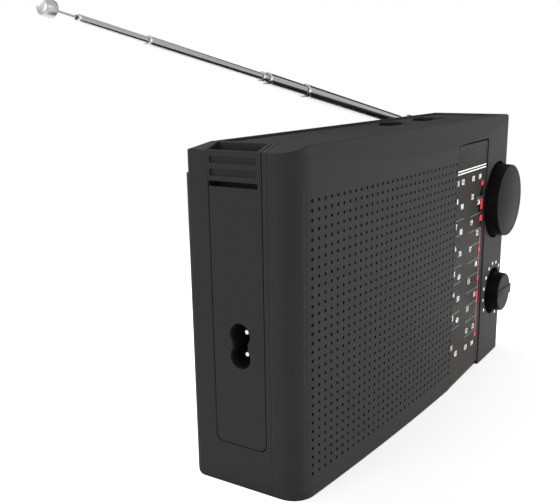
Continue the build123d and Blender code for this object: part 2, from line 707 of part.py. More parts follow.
def earphone_jack():
    """Jack socket at the right end, with its threaded collar in the panel."""
    x = (CASE_WIDTH - WALL - JACK_LENGTH, CASE_WIDTH - WALL)
    half = JACK_BODY / 2
    body = block(x, (INLET_Y - half, INLET_Y + half), (INLET_Z - half, INLET_Z + half))
    body += rod_x(INLET_Y, INLET_Z, JACK_NUT_R - 0.1, CASE_WIDTH - WALL, CASE_WIDTH)
    return body - rod_x(INLET_Y, INLET_Z, JACK_R, CASE_WIDTH - WALL - 8, CASE_WIDTH + 1)


# ---- knobs and cord drive -----------------------------------------------------------------------
def tuning_knob():
    """Broad disc knob, slightly tapered, with a hub that grips the spindle."""
    length = TUNING_BACK_Y - TUNING_FACE_Y
    profile = [
        (0, 0), (TUNING_R - 0.6, 0), (TUNING_R, 0.6), (TUNING_R + 0.5, length),
        (TUNING_R - 1.6, length), (TUNING_R - 1.6, 2.2), (5.2, 2.2), (5.2, length),
        (SPINDLE_R, length), (SPINDLE_R, 3.0), (0, 3.0)]
    return turned(TUNING_X, TUNING_Z, TUNING_FACE_Y, profile)


def tuning_spindle():
    """Shaft from the knob to the chassis, waisted where the cord passes."""
    waist = SPINDLE_PITCH_R - CORD_T / 2 - RUN
    half = CORD_T / 2 + 0.5
    spindle = rod_y(TUNING_X, TUNING_Z, SPINDLE_R, TUNING_FACE_Y + 3.0, CORD_Y - half)
    spindle += rod_y(TUNING_X, TUNING_Z, waist, CORD_Y - half, CORD_Y + half)
    spindle += rod_y(TUNING_X, TUNING_Z, SPINDLE_R, CORD_Y + half, CHASSIS_Y + CHASSIS_T + 1.5)
    return spindle


def grooved_wheel(x, z, pitch_r, thickness, hub_r, bore_r):
    """Wheel with a rim groove for the cord."""
    rim = pitch_r + DRUM_FLANGE
    root = pitch_r - CORD_T / 2 - RUN
    half = thickness / 2
    web = min(half, 0.8)
    lip = CORD_T / 2 + 0.3
    profile = [
        (bore_r, 0), (hub_r, 0), (hub_r, half - web), (root - 1.2, half - web), (rim, 0),
        (root, half - lip), (root, half + lip), (rim, thickness),
        (root - 1.2, half + web), (bore_r, half + web)]
    return turned(x, z, CORD_Y - half, profile)


def cord_drum():
    drum = grooved_wheel(DRUM_X, DRUM_Z, DRUM_PITCH_R, DRUM_T, 5.5, SPINDLE_R)
    for i in range(4):
        angle = math.radians(45 + 90 * i)
        x = DRUM_X + 15 * math.cos(angle)
        z = DRUM_Z + 15 * math.sin(angle)
        drum -= post_y(x, z, 6.0, 0, 30)
    return drum


def cord_pulley(z):
    pitch = PULLEY_PITCH_R
    rim = pitch + 1.0
    root = pitch - CORD_T / 2 - RUN
    half = PULLEY_T / 2
    lip = CORD_T / 2 + 0.3
    profile = [
        (PULLEY_PIN_R + RUN, 0), (rim, 0), (rim, half - lip - 0.3), (root, half - lip),
        (root, half + lip), (rim, half + lip + 0.3), (rim, PULLEY_T), (PULLEY_PIN_R + RUN, PULLEY_T)]
    return turned(PULLEY_X, z, CORD_Y - half, profile)


def cord_loop(grow):
    """Outline of the loop that touches the spindle, the drum and both pulleys."""
    wheels = (
        (TUNING_X, TUNING_Z, SPINDLE_PITCH_R), (DRUM_X, DRUM_Z, DRUM_PITCH_R),
        (PULLEY_X, PULLEY_TOP_Z, PULLEY_PITCH_R), (PULLEY_X, PULLEY_BOTTOM_Z, PULLEY_PITCH_R))
    edges = [(Pos(LEFT + x, z) * Circle(r + grow)).edges()[0] for x, z, r in wheels]
    return make_hull(edges)


def dial_cord():
    half = CORD_T / 2
    return from_front(cord_loop(half) - cord_loop(-half), CORD_Y - half, CORD_Y + half)


def tuning_chassis():
    """Steel plate that carries the drive, with a tab for each screw and riveted pins."""
    y = (CHASSIS_Y, CHASSIS_Y + CHASSIS_T)
    left, right = CHASSIS_X
    plate = block((left, right), y, (14, 111))
    plate += block((left, right - 18), y, (100, 127))
    plate += block((left, left + 22), y, (3.2, 20))
    plate += rod_y(TUNING_X, TUNING_Z, 5.0, CHASSIS_Y - 1.5, CHASSIS_Y + CHASSIS_T)
    plate -= rod_y(TUNING_X, TUNING_Z, SPINDLE_R + RUN, 0, 30)
    plate -= rod_y(DRUM_X, DRUM_Z, SPINDLE_R + 1.5, 0, 30)
    plate -= post_y(VOLUME_X, VOLUME_Z, POT_R + 1.0, 0, 30, 16)
    for x, z in CHASSIS_SCREWS:
        plate -= post_y(x, z, SCREW_HOLE_R, 0, 30)
    for z in (PULLEY_TOP_Z, PULLEY_BOTTOM_Z):
        plate += rod_y(PULLEY_X, z, PULLEY_PIN_R, CORD_Y - PULLEY_T / 2 - 0.6, CHASSIS_Y)
        front = CORD_Y - PULLEY_T / 2
        plate += post_y(PULLEY_X, z, PULLEY_PIN_R + 0.8, front - 1.2, front - 0.3)
        plate += post_y(PULLEY_X, z, PULLEY_PIN_R + 1.0, CORD_Y + PULLEY_T / 2 + 0.3, CHASSIS_Y)
    return plate


def pointer_rail():
    """Straight guide rod with a foot at each end fixed to the chassis."""
    top = POINTER_REST_Z + 9
    bottom = POINTER_REST_Z - POINTER_TRAVEL - 9
    rail = rod_z(RAIL_X, RAIL_Y, RAIL_R, bottom, top)
    for z in (bottom, top - 3):
        rail += block((RAIL_X + 5.4, RAIL_X + 8.0), (RAIL_Y - 1.5, CHASSIS_Y), (z, z + 3))
        rail += block((RAIL_X - 1.5, RAIL_X + 8.0), (RAIL_Y - 1.5, RAIL_Y + 1.5), (z, z + 3))
    return rail


def tuning_capacitor():
    half = CAPACITOR_SIZE / 2
    y = (CHASSIS_Y + CHASSIS_T, CHASSIS_Y + CHASSIS_T + CAPACITOR_LENGTH)
    body = block((DRUM_X - half, DRUM_X + half), y, (DRUM_Z - half, DRUM_Z + half))
    body = chamfer(body.edges().filter_by(Axis.Y), 2.0)
    return body - rod_y(DRUM_X, DRUM_Z, SPINDLE_R + RUN, 0, y[0] + 8)


def capacitor_shaft():
    return rod_y(DRUM_X, DRUM_Z, SPINDLE_R, CORD_Y - DRUM_T / 2, CHASSIS_Y + CHASSIS_T + 7.5)


def volume_knob():
    """Short knob with a raised bar across its face."""
    back = WELL_FLOOR_Y - 1.0
    length = back - VOLUME_FACE_Y
    profile = [
        (0, 0), (VOLUME_R - 1.4, 0), (VOLUME_R - 0.5, 0.8), (VOLUME_R, length),
        (VOLUME_R - 1.4, length), (VOLUME_R - 1.8, 2.4), (5.0, 2.4), (5.0, length),
        (VOLUME_SHAFT_R, length), (VOLUME_SHAFT_R, 3.4), (0, 3.4)]
    knob = turned(VOLUME_X, VOLUME_Z, VOLUME_FACE_Y, profile)
    bar = rod_y(VOLUME_X, VOLUME_Z, VOLUME_R - 0.5, VOLUME_FACE_Y - GRIP_H, VOLUME_FACE_Y + 0.5)
    half = GRIP_W / 2
    reach = (VOLUME_X - VOLUME_R - 1, VOLUME_X + VOLUME_R + 1)
    bar &= block(reach, (VOLUME_FACE_Y - 5, VOLUME_FACE_Y + 5), (VOLUME_Z - half, VOLUME_Z + half))
    return knob + bar


def volume_shaft():
    end = WELL_FLOOR_Y + WELL_WALL + 3.0
    return rod_y(VOLUME_X, VOLUME_Z, VOLUME_SHAFT_R, VOLUME_FACE_Y + 3.4, end)


def volume_potentiometer():
    """Round potentiometer held in the floor of the volume well."""
    front = WELL_FLOOR_Y + WELL_WALL
    body = post_y(VOLUME_X, VOLUME_Z, POT_R, front, front + POT_LENGTH, 16)
    body += block((VOLUME_X - 6, VOLUME_X + 6), (front + 1, front + 2.4), (VOLUME_Z - POT_R - 6, VOLUME_Z))
    return body - rod_y(VOLUME_X, VOLUME_Z, VOLUME_SHAFT_R + RUN, front - 1, front + 3.5)


# ---- slide switches ---------------------------------------------------------------------------
def slider(x):
    """Ribbed thumb piece of a slide switch, with its stem, at the left end of its travel."""
    floor = CASE_HEIGHT - TOP_PANEL_DEPTH - SWITCH_WELL_DEPTH
    start = x[0] + 1.0
    half = SLIDER_W / 2
    cap = block((start, start + SLIDER_LENGTH), (SWITCH_Y - half, SWITCH_Y + half),
                (floor + 0.1, floor + SLIDER_H))
    for i in range(4):
        groove = start + 1.6 + i * 2.0
        cap -= block((groove, groove + 0.8), (SWITCH_Y - 5, SWITCH_Y + 5),
                     (floor + SLIDER_H - 0.5, CASE_HEIGHT + 5))
    stem_x = x[0] + 3.0
    stem = block((stem_x, stem_x + 3.0), (SWITCH_Y - SWITCH_SLOT_W / 2, SWITCH_Y + SWITCH_SLOT_W / 2),
                 (CASE_HEIGHT - WALL - 2.5, floor + 0.5))
    return cap + stem


def switch_body(x, steps):
    """Closed switch under the top wall, with a channel for the slider's stem."""
    top = CASE_HEIGHT - WALL
    half = SWITCH_BODY_W / 2
    body = block((x[0], x[1]), (SWITCH_Y - half, SWITCH_Y + half), (top - SWITCH_BODY_H, top))
    start = x[0] + 3.0
    length = steps * SWITCH_PITCH + 3.0 + 2 * GAP
    width = SWITCH_SLOT_W / 2 + GAP
    channel = block((start - GAP, start + length), (SWITCH_Y - width, SWITCH_Y + width),
                    (top - 2.5 - GAP, top + 1))
    return body - channel


# ---- antenna ------------------------------------------------------------------------------------
def antenna_frame():
    """Frame at the pivot: x out along the antenna, y to the back, z across the fork."""
    pivot = (LEFT + ANTENNA_X, FRONT + ANTENNA_AXIS_Y, ANTENNA_Z)
    rise = math.radians(ANTENNA_RISE)
    along = (-math.cos(rise), 0, math.sin(rise))
    across = (-math.sin(rise), 0, -math.cos(rise))
    return Plane(origin=pivot, x_dir=along, z_dir=across)


ANTENNA = antenna_frame()


def antenna_rod(radius, start, end):
    """Round length of the antenna between two distances from the pivot."""
    return ANTENNA * (Pos((start + end) / 2, 0, 0) * Rot(0, 90, 0) * Cylinder(radius, end - start))


def antenna_swivel():
    """Turning foot in the back of the case, with a stem inside and a fork outside."""
    swivel = rod_y(ANTENNA_X, ANTENNA_Z, SWIVEL_R, SWIVEL_FACE_Y - SWIVEL_T, SWIVEL_FACE_Y)
    swivel += rod_y(ANTENNA_X, ANTENNA_Z, STEM_R,
                    SWIVEL_FACE_Y - SWIVEL_T - STEM_LENGTH, SWIVEL_FACE_Y - SWIVEL_T)
    groove = rod_y(ANTENNA_X, ANTENNA_Z, STEM_R + 1, RETAINER_Y - SHEET - RUN, RETAINER_Y + RUN)
    swivel -= groove - rod_y(ANTENNA_X, ANTENNA_Z, STEM_R - STEM_GROOVE, 0, CASE_DEPTH)
    depth = ANTENNA_AXIS_Y - SWIVEL_FACE_Y
    for side in (-1, 1):
        place = side * (FORK_GAP + FORK_CHEEK) / 2
        cheek = Pos(0, 0, place) * Cylinder(FORK_R, FORK_CHEEK)
        cheek += Pos(0, -depth / 2, place) * Box(2 * FORK_R, depth, FORK_CHEEK)
        swivel += ANTENNA * cheek
    return swivel - ANTENNA * Cylinder(0.9, 20)


def antenna_pin():
    return ANTENNA * Cylinder(0.9, FORK_GAP + 2 * FORK_CHEEK + 0.8)


def antenna_retainer():
    """Forked steel plate behind the boss, astride the groove of the swivel's stem."""
    back = RETAINER_Y
    plate = block((ANTENNA_X - 4.5, ANTENNA_X + 4.5), (back - SHEET, back),
                  (ANTENNA_Z - 9, CASE_HEIGHT - WALL))
    plate &= INNER
    plate -= rod_y(ANTENNA_X, ANTENNA_Z, STEM_R - STEM_GROOVE + RUN, 0, CASE_DEPTH)
    neck = STEM_R - STEM_GROOVE + RUN
    return plate - block((ANTENNA_X - neck, ANTENNA_X + neck), (0, CASE_DEPTH),
                         (ANTENNA_Z, CASE_HEIGHT))


def section_length(index):
    return TUBE_LENGTH - index * SECTION_STEP


def section_end(index):
    """Distance of a section's open end from the pivot."""
    return TUBE_START + TUBE_LENGTH + sum(EXTENSION[:index])


def antenna_base_tube():
    """Thickest tube, with the flat tongue that turns in the fork."""
    tube = antenna_rod(TUBE_R[0], TUBE_START, section_end(0))
    tube -= antenna_rod(TUBE_R[0] - TUBE_WALL, TUBE_START + 2, section_end(0) + 1)
    tongue = Cylinder(FORK_R - 0.3, FORK_GAP - 2 * RUN)
    tongue += Pos(TUBE_START / 2 + 0.5, 0, 0) * Box(TUBE_START + 1, 2 * (FORK_R - 0.3), FORK_GAP - 2 * RUN)
    tongue -= Cylinder(0.9 + RUN, 20)
    return tube + ANTENNA * tongue


def antenna_tube(index):
    """Middle section: an open tube inside the one before it."""
    end = section_end(index)
    tube = antenna_rod(TUBE_R[index], end - section_length(index), end)
    return tube - antenna_rod(TUBE_R[index] - TUBE_WALL, end - 200, end + 1)


def antenna_tip_rod():
    last = len(TUBE_R) - 1
    end = section_end(last)
    return antenna_rod(TUBE_R[last], end - section_length(last), end)


def antenna_tip():
    """Button on the end of the thinnest rod."""
    start = section_end(len(TUBE_R) - 1)
    tip = antenna_rod(TIP_R, start, start + TIP_LENGTH)
    return chamfer(tip.edges(), 0.4)


# ---- speaker ----------------------------------------------------------------------------------------
def speaker_gasket():
    ring = rod_y(SPEAKER_X, SPEAKER_Z, SPEAKER_R - 0.3, -FRONT_BOW - 1, SPEAKER_SEAT_Y)
    ring -= rod_y(SPEAKER_X, SPEAKER_Z, CONE_R + 1.0, -FRONT_BOW - 2, SPEAKER_SEAT_Y + 1)
    return ring & case_form(GRILLE_WALL)


def speaker_frame():
    """Pressed basket with a flat rim, four windows and a back plate."""
    throat = MAGNET_R - 3
    depth = BASKET_DEPTH
    profile = [
        (CONE_R, 0), (SPEAKER_R, 0), (SPEAKER_R, SHEET), (CONE_R + SHEET, SHEET),
        (throat + SHEET, depth), (5.5, depth), (5.5, depth - SHEET),
        (throat, depth - SHEET), (CONE_R, SHEET + 0.6)]
    frame = turned(SPEAKER_X, SPEAKER_Z, SPEAKER_SEAT_Y, profile)
    y = (SPEAKER_SEAT_Y + 4, SPEAKER_SEAT_Y + depth - 2)
    for side in (-1, 1):
        x = SPEAKER_X + side * BASKET_WINDOW_R
        z = SPEAKER_Z + side * BASKET_WINDOW_R
        frame -= block((x - 9, x + 9), y, (SPEAKER_Z - 6, SPEAKER_Z + 6))
        frame -= block((SPEAKER_X - 6, SPEAKER_X + 6), y, (z - 9, z + 9))
    return frame


def speaker_cone():
    """Paper cone with a rolled surround and a dust cap over the voice coil."""
    rim = CONE_R - 0.4
    profile = [
        (0, 6.5), (CONE_THROAT_R, CONE_DEPTH), (rim - 3, -0.4), (rim, 0.2), (rim, 1.0),
        (CONE_THROAT_R, CONE_DEPTH + 1.2), (0, CONE_DEPTH + 1.2)]
    return turned(SPEAKER_X, SPEAKER_Z, SPEAKER_SEAT_Y, profile)


def speaker_magnet():
    start = SPEAKER_SEAT_Y + BASKET_DEPTH
    magnet = rod_y(SPEAKER_X, SPEAKER_Z, MAGNET_R, start, start + MAGNET_LENGTH)
    return magnet + rod_y(SPEAKER_X, SPEAKER_Z, 5.0, start - 2.0, start)


def speaker_screws():
    """Four screws whose broad heads clamp the speaker's rim."""
    screws = []
    seat = SPEAKER_SEAT_Y + SHEET
    for x, z in screw_places(SPEAKER_SCREW_R):
        screw = post_y(x, z, 4.6, seat, seat + 1.6, 12)
        screw += post_y(x, z, 1.2, 0.2, seat)
        screws.append(screw)
    return screws


# ---- electronics ------------------------------------------------------------------------------------
def circuit_board():
    board = block(BOARD_X, (BOARD_Y, BOARD_Y + BOARD_T), BOARD_Z)
    for x in (BOARD_X[0] + 4, BOARD_X[1] - 4):
        for z in (BOARD_Z[0] + 4, BOARD_Z[1] - 4):
            board -= post_y(x, z, SCREW_HOLE_R, BOARD_Y - 1, BOARD_Y + 5)
    return board


def board_screws():
    screws = []
    for x in (BOARD_X[0] + 4, BOARD_X[1] - 4):
        for z in (BOARD_Z[0] + 4, BOARD_Z[1] - 4):
            screw = post_y(x, z, 2.4, BOARD_Y - 1.5, BOARD_Y, 12)
            screws.append(screw + post_y(x, z, 1.2, BOARD_Y, BOARD_Y + 8))
    return screws


def tuning_coils():
    """Row of screened coils on the circuit board."""
    cans = []
    for i in range(4):
        x = BOARD_X[0] + 14 + i * 12
        can = block((x, x + 7), (BOARD_Y - 9, BOARD_Y), (52, 59))
        can -= post_y(x + 3.5, 55.5, 1.6, BOARD_Y - 10, BOARD_Y - 7)
        cans.append(can)
    return cans


def board_capacitors():
    """Electrolytic capacitors standing on the circuit board."""
    cans = []
    for x, z, radius, length in ((120, 84, 5.0, 12.0), (120, 70, 4.0, 10.0), (132, 66, 3.2, 9.0),
                                 (178, 98, 5.0, 12.0)):
        cans.append(post_y(x, z, radius, BOARD_Y - length, BOARD_Y, 16))
    return cans


def radio_chip():
    return block((176, 192), (BOARD_Y - 3.2, BOARD_Y), (62, 69))


def ferrite_rod():
    return rod_x(FERRITE_Y, FERRITE_Z, FERRITE_R, *FERRITE_X)


def ferrite_coils():
    coils = []
    for x, length in ((FERRITE_X[0] + 12, 18.0), (FERRITE_X[1] - 34, 12.0)):
        coil = rod_x(FERRITE_Y, FERRITE_Z, FERRITE_R + 1.2, x, x + length)
        coils.append(coil - rod_x(FERRITE_Y, FERRITE_Z, FERRITE_R, x - 1, x + length + 1))
    return coils


def rod_holders():
    """Two plastic cradles between the ferrite rod and the back wall."""
    holders = []
    for x in (FERRITE_X[0] + 4, FERRITE_X[1] - 8):
        cradle = block((x, x + 4), (FERRITE_Y - 2, CASE_DEPTH - WALL), (FERRITE_Z - 8, FERRITE_Z + 1))
        cradle &= INNER
        holders.append(cradle - rod_x(FERRITE_Y, FERRITE_Z, FERRITE_R, x - 1, x + 5))
    return holders


def mains_transformer():
    """Laminated core with open windows for the winding."""
    core = block(TRANSFORMER_X, TRANSFORMER_Y, TRANSFORMER_Z)
    x, z = TRANSFORMER_X, TRANSFORMER_Z
    leg = 6.0
    middle = (x[0] + x[1]) / 2
    for side in ((x[0] + leg, middle - leg), (middle + leg, x[1] - leg)):
        core -= block(side, (0, 60), (z[0] + leg, z[1] - leg))
    return core


def transformer_winding():
    x, z = TRANSFORMER_X, TRANSFORMER_Z
    leg = 6.0
    middle = (x[0] + x[1]) / 2
    grow = 3.0
    y = (TRANSFORMER_Y[0] - grow, TRANSFORMER_Y[1] + grow - 0.2)
    coil = block((x[0] + leg, x[1] - leg), y, (z[0] + leg, z[1] - leg))
    return coil - block((middle - leg, middle + leg), TRANSFORMER_Y, (0, CASE_HEIGHT))


def battery_cells():
    cells = []
    start = BAY_X + SPRING_LENGTH + CONTACT_T
    for i in range(CELLS):
        x = start + i * CELL_LENGTH
        cell = rod_x(CELL_Y, CELL_Z, CELL_R, x, x + CELL_LENGTH - CELL_NUB)
        cells.append(cell + rod_x(CELL_Y, CELL_Z, CELL_NUB_R,
                                  x + CELL_LENGTH - CELL_NUB, x + CELL_LENGTH))
    return cells


def battery_contacts():
    """Contact plates at both ends of the bay, and the spring at the left end."""
    z = (CELL_Z - 8, CELL_Z + 8)
    y = (CELL_Y - 8, CELL_Y + 8)
    end = BAY_X + BAY_LENGTH
    flat = block((end - CONTACT_T, end), y, z)
    nub = rod_x(CELL_Y, CELL_Z, 3.0, BAY_X + SPRING_LENGTH + CONTACT_T + CELLS * CELL_LENGTH,
                end - CONTACT_T)
    return [block((BAY_X, BAY_X + CONTACT_T), y, z), flat + nub, battery_spring()]


def battery_spring():
    """Conical contact spring, wound as stepped rings that touch."""
    spring = Part()
    turns = 3
    pitch = SPRING_LENGTH / turns
    for i in range(turns):
        radius = 6.5 - i
        x = BAY_X + CONTACT_T + i * pitch
        outline = RegularPolygon(radius, 12) - RegularPolygon(radius - 1.4, 12)
        ring = Pos(LEFT + x, FRONT + CELL_Y, CELL_Z) * Rot(0, 90, 0) * extrude(outline, pitch)
        spring += ring
    return spring


def case_screws():
    screws = []
    for x, z in CASE_SCREWS:
        screw = post_y(x, z, HEAD_R, SCREW_SEAT_Y, SCREW_SEAT_Y + HEAD_H, 12)
        screws.append(screw + post_y(x, z, SCREW_R, 3.5, SCREW_SEAT_Y))
    return screws


def chassis_screws():
    screws = []
    back = CHASSIS_Y + CHASSIS_T
    for x, z in CHASSIS_SCREWS:
        screw = post_y(x, z, 2.4, back, back + 1.5, 12)
        screws.append(screw + post_y(x, z, 1.2, back - 8, back))
    return screws


# ---- export -------------------------------------------------------------------------------------------
NODES = {
    "front_shell": front_shell,
    "speaker_grille": speaker_grille,
    "back_shell": back_shell,
    "battery_door": battery_door,
    "side_panel_left": side_panel_left,
    "side_panel_right": side_panel_right,
    "strap_bracket_left": strap_bracket,
    "strap_bracket_right": lambda: mirrored(strap_bracket()),
    "mains_inlet": mains_inlet,
    "inlet_pins": inlet_pins,
    "earphone_jack": earphone_jack,
    "dial_lens": dial_lens,
    "dial_backplate": dial_backplate,
    "dial_pointer": dial_pointer,
    "pointer_rail": pointer_rail,
    "tuning_knob": tuning_knob,
    "tuning_spindle": tuning_spindle,
    "cord_drum": cord_drum,
    "cord_pulley_upper": lambda: cord_pulley(PULLEY_TOP_Z),
    "cord_pulley_lower": lambda: cord_pulley(PULLEY_BOTTOM_Z),
    "dial_cord": dial_cord,
    "tuning_chassis": tuning_chassis,
    "tuning_capacitor": tuning_capacitor,
    "capacitor_shaft": capacitor_shaft,
    "volume_knob": volume_knob,
    "volume_shaft": volume_shaft,
    "volume_potentiometer": volume_potentiometer,
    "band_slider": lambda: slider(BAND_X),
    "band_switch": lambda: switch_body(BAND_X, BAND_STEPS),
    "mode_slider": lambda: slider(MODE_X),
    "mode_switch": lambda: switch_body(MODE_X, MODE_STEPS),
    "antenna_swivel": antenna_swivel,
    "antenna_pin": antenna_pin,
    "antenna_retainer": antenna_retainer,
    "antenna_base_tube": antenna_base_tube,
    "antenna_tube_2": lambda: antenna_tube(1),
    "antenna_tube_3": lambda: antenna_tube(2),
    "antenna_tube_4": lambda: antenna_tube(3),
    "antenna_tube_5": lambda: antenna_tube(4),
    "antenna_tip_rod": antenna_tip_rod,
    "antenna_tip": antenna_tip,
    "speaker_gasket": speaker_gasket,
    "speaker_frame": speaker_frame,
    "speaker_cone": speaker_cone,
    "speaker_magnet": speaker_magnet,
    "speaker_screws": speaker_screws,
    "circuit_board": circuit_board,
    "board_screws": board_screws,
    "tuning_coils": tuning_coils,
    "board_capacitors": board_capacitors,
    "radio_chip": radio_chip,
    "ferrite_rod": ferrite_rod,
    "ferrite_coils": ferrite_coils,
    "rod_holders": rod_holders,
    "mains_transformer": mains_transformer,
    "transformer_winding": transformer_winding,
    "battery_cells": battery_cells,
    "battery_contacts": battery_contacts,
    "case_screws": case_screws,
    "chassis_screws": chassis_screws,
}


def as_one(made):
    """One shape for a node, whether it is one piece or a group of like pieces."""
    if isinstance(made, list):
        return Compound(children=[solid for piece in made for solid in piece.solids()])
    return made


if __name__ == "__main__":
    os.makedirs("parts", exist_ok=True)
    for name, make in NODES.items():
        export_step(as_one(make()), f"parts/{name}.step")
        print(name)
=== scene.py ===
"""Looks of a portable radio: moulded case, pierced grille, printed dial, knobs and antenna.

Metres, in the frame of the CAD part: +X right along the front, +Y to the back, +Z up.
"""

import json
import math

import bmesh
import bpy
from bpy.props import (
    FloatProperty,
    FloatVectorProperty,
    IntProperty,
    PointerProperty,
)
from mathutils import Matrix, Vector
from mathutils.bvhtree import BVHTree


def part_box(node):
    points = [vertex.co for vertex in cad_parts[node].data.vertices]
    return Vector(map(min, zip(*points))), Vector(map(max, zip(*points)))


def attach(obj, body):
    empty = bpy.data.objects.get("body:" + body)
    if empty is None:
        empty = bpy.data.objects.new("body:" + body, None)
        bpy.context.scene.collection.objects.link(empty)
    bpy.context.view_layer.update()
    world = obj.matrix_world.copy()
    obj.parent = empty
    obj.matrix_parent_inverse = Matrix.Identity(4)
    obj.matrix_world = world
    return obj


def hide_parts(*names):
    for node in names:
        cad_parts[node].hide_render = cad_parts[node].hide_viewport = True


bl_info = {
    "name": "Portable radio looks",
    "version": (1, 0, 0),
    "blender": (4, 5, 0),
    "location": "3D View > Sidebar > Radio",
    "description": "Builds the grille, print, knobs, antenna and finishes of a portable radio",
    "category": "Object",
}

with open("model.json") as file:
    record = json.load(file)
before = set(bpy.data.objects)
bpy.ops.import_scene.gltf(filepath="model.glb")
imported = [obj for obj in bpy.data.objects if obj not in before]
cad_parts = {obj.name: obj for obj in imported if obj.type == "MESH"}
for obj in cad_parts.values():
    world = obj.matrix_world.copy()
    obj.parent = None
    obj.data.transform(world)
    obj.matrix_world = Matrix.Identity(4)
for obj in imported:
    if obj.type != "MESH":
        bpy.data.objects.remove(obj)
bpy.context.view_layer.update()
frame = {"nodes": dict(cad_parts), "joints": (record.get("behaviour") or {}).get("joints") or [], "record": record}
SURFACES = {}
MM = 0.001

# ---- print of the dial strip: millimetres from its left edge and above the base -------------
FIGURE_SHARE = 0.72        # height of a figure for a letter size of one
HEADER_LINES = (107.3, 106.0)
HEADER_SPAN = (1.0, 40.8)
FIGURE_COLUMNS = (
    (1.9, ((101.8, "01"), (93.3, "8"), (81.2, "7"), (70.8, "6"), (58.3, "5"), (47.9, "4"),
           (36.2, "3"), (20.9, "01"))),
    (8.4, ((101.8, "02"), (90.1, "90"), (78.0, "80"), (67.1, "70"), (55.6, "60"), (44.7, "50"),
           (33.6, "40"), (16.2, "02"))),
    (22.8, ((101.8, "03"), (92.9, "22"), (80.0, "19"), (66.5, "17"), (50.1, "15"), (35.6, "13"),
            (24.1, "12"), (15.3, "03"))),
    (32.5, ((101.8, "04"), (89.1, "26"), (73.4, "22"), (57.3, "18"), (41.2, "15"),
            (23.9, "12"), (14.8, "04"))),
)
TICK_ROWS = (
    ((29.8, 38.6), (91.4,)),
    ((20.4, 36.8), (83.4, 75.5, 68.1, 60.0, 52.4, 44.4, 37.4, 29.0, 21.4)),
    ((0.9, 11.3), (84.2, 76.7, 61.3, 53.0, 38.1, 30.6)),
)
# painted shade: the dark crescent stands for the shade of the tuning knob's well, seen through the strip
SHADE_SPAN = (32.2, 38.0)  # dark crescent beside the tuning knob
SHADE_HALF = 11.0
SHADE_Z = 87.0
RED_BAR_U = 36.6
RED_BAR_Z = (18.3, 75.5)
RED_BLOCKS = (             # lower edge, upper edge and width
    (97.2, 99.4, 2.8), (85.0, 90.5, 2.8), (79.0, 82.0, 3.6), (63.2, 65.2, 2.0),
    (48.2, 50.2, 2.0), (36.0, 42.0, 1.6), (17.4, 19.4, 2.2))
DOT_START = 210.0          # degrees from the right, going round by the top
DOT_END = -63.7
CLOUD_PER_METRE = 26.0     # broad unevenness of every finish
CAD_GRIP_HEIGHT = 0.6 * MM  # bar on the core of the volume knob
EDGE_TURN = 0.75           # where the normal has turned this far, an edge counts in full
SHELLS = ("front_shell", "back_shell")
ANTENNA_TUBES = ("antenna_base_tube", "antenna_tube_2", "antenna_tube_3", "antenna_tube_4",
                 "antenna_tube_5")

# ---- stage: metres ----------------------------------------------------------------------------
MIDDLE = (0.0, 0.0, 0.07)  # what the lamps and the card face
LAMPS = (                  # name, setting of its power, place, target, width and height
    ("Key lamp", "key_power", (0.1, -1.1, 0.25), MIDDLE, 1.1, 0.45),
    ("Fill lamp", "fill_power", (-1.2, 0.15, 0.38), MIDDLE, 0.9, 0.7),
    ("Top lamp", "top_power", (-0.1, 1.0, 0.9), MIDDLE, 1.0, 0.7),
    ("Right lamp", "right_power", (0.45, -0.6, 0.09), (0.1, 0.0, 0.0), 0.4, 0.14),
)
UNMIRRORED_LAMPS = ("Right lamp",)
CARD_PLACE = (1.2, 0.5, 0.5)
CARD_SIZE = (1.2, 0.8)
FLOOR_REACH = 3.0
FADE_SHARE = 2.4           # the floor is plain white at this many times the shadow's reach


# ---- places from the CAD frame --------------------------------------------------------
def centre_of(node):
    low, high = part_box(node)
    return (low + high) / 2


def surface_tree(node):
    """Search tree of a node's faces, kept for the next question."""
    if node not in SURFACES:
        mesh = frame["nodes"][node].data
        SURFACES[node] = BVHTree.FromPolygons(
            [vertex.co for vertex in mesh.vertices],
            [polygon.vertices for polygon in mesh.polygons])
    return SURFACES[node]


def surface_hit(node, x, z):
    """Point of a node's front surface straight behind (x, z), and its normal."""
    point, normal, _, _ = surface_tree(node).ray_cast(Vector((x, -1.0, z)), Vector((0, 1, 0)))
    if point is None:
        raise RuntimeError(f"nothing of {node} lies behind x={x:.4f}, z={z:.4f}")
    return point, normal


# ---- settings -----------------------------------------------------------------------------
def colour_property(name, description, default):
    return FloatVectorProperty(
        name=name, description=description, default=default, size=3,
        subtype="COLOR", min=0.0, max=1.0)


def length_property(name, description, default, soft_max=0.5):
    return FloatProperty(
        name=name, description=description, default=default,
        unit="LENGTH", subtype="DISTANCE", precision=5, soft_max=soft_max)


def power_property(name, description, default):
    return FloatProperty(
        name=name, description=description, default=default, subtype="POWER", unit="POWER")


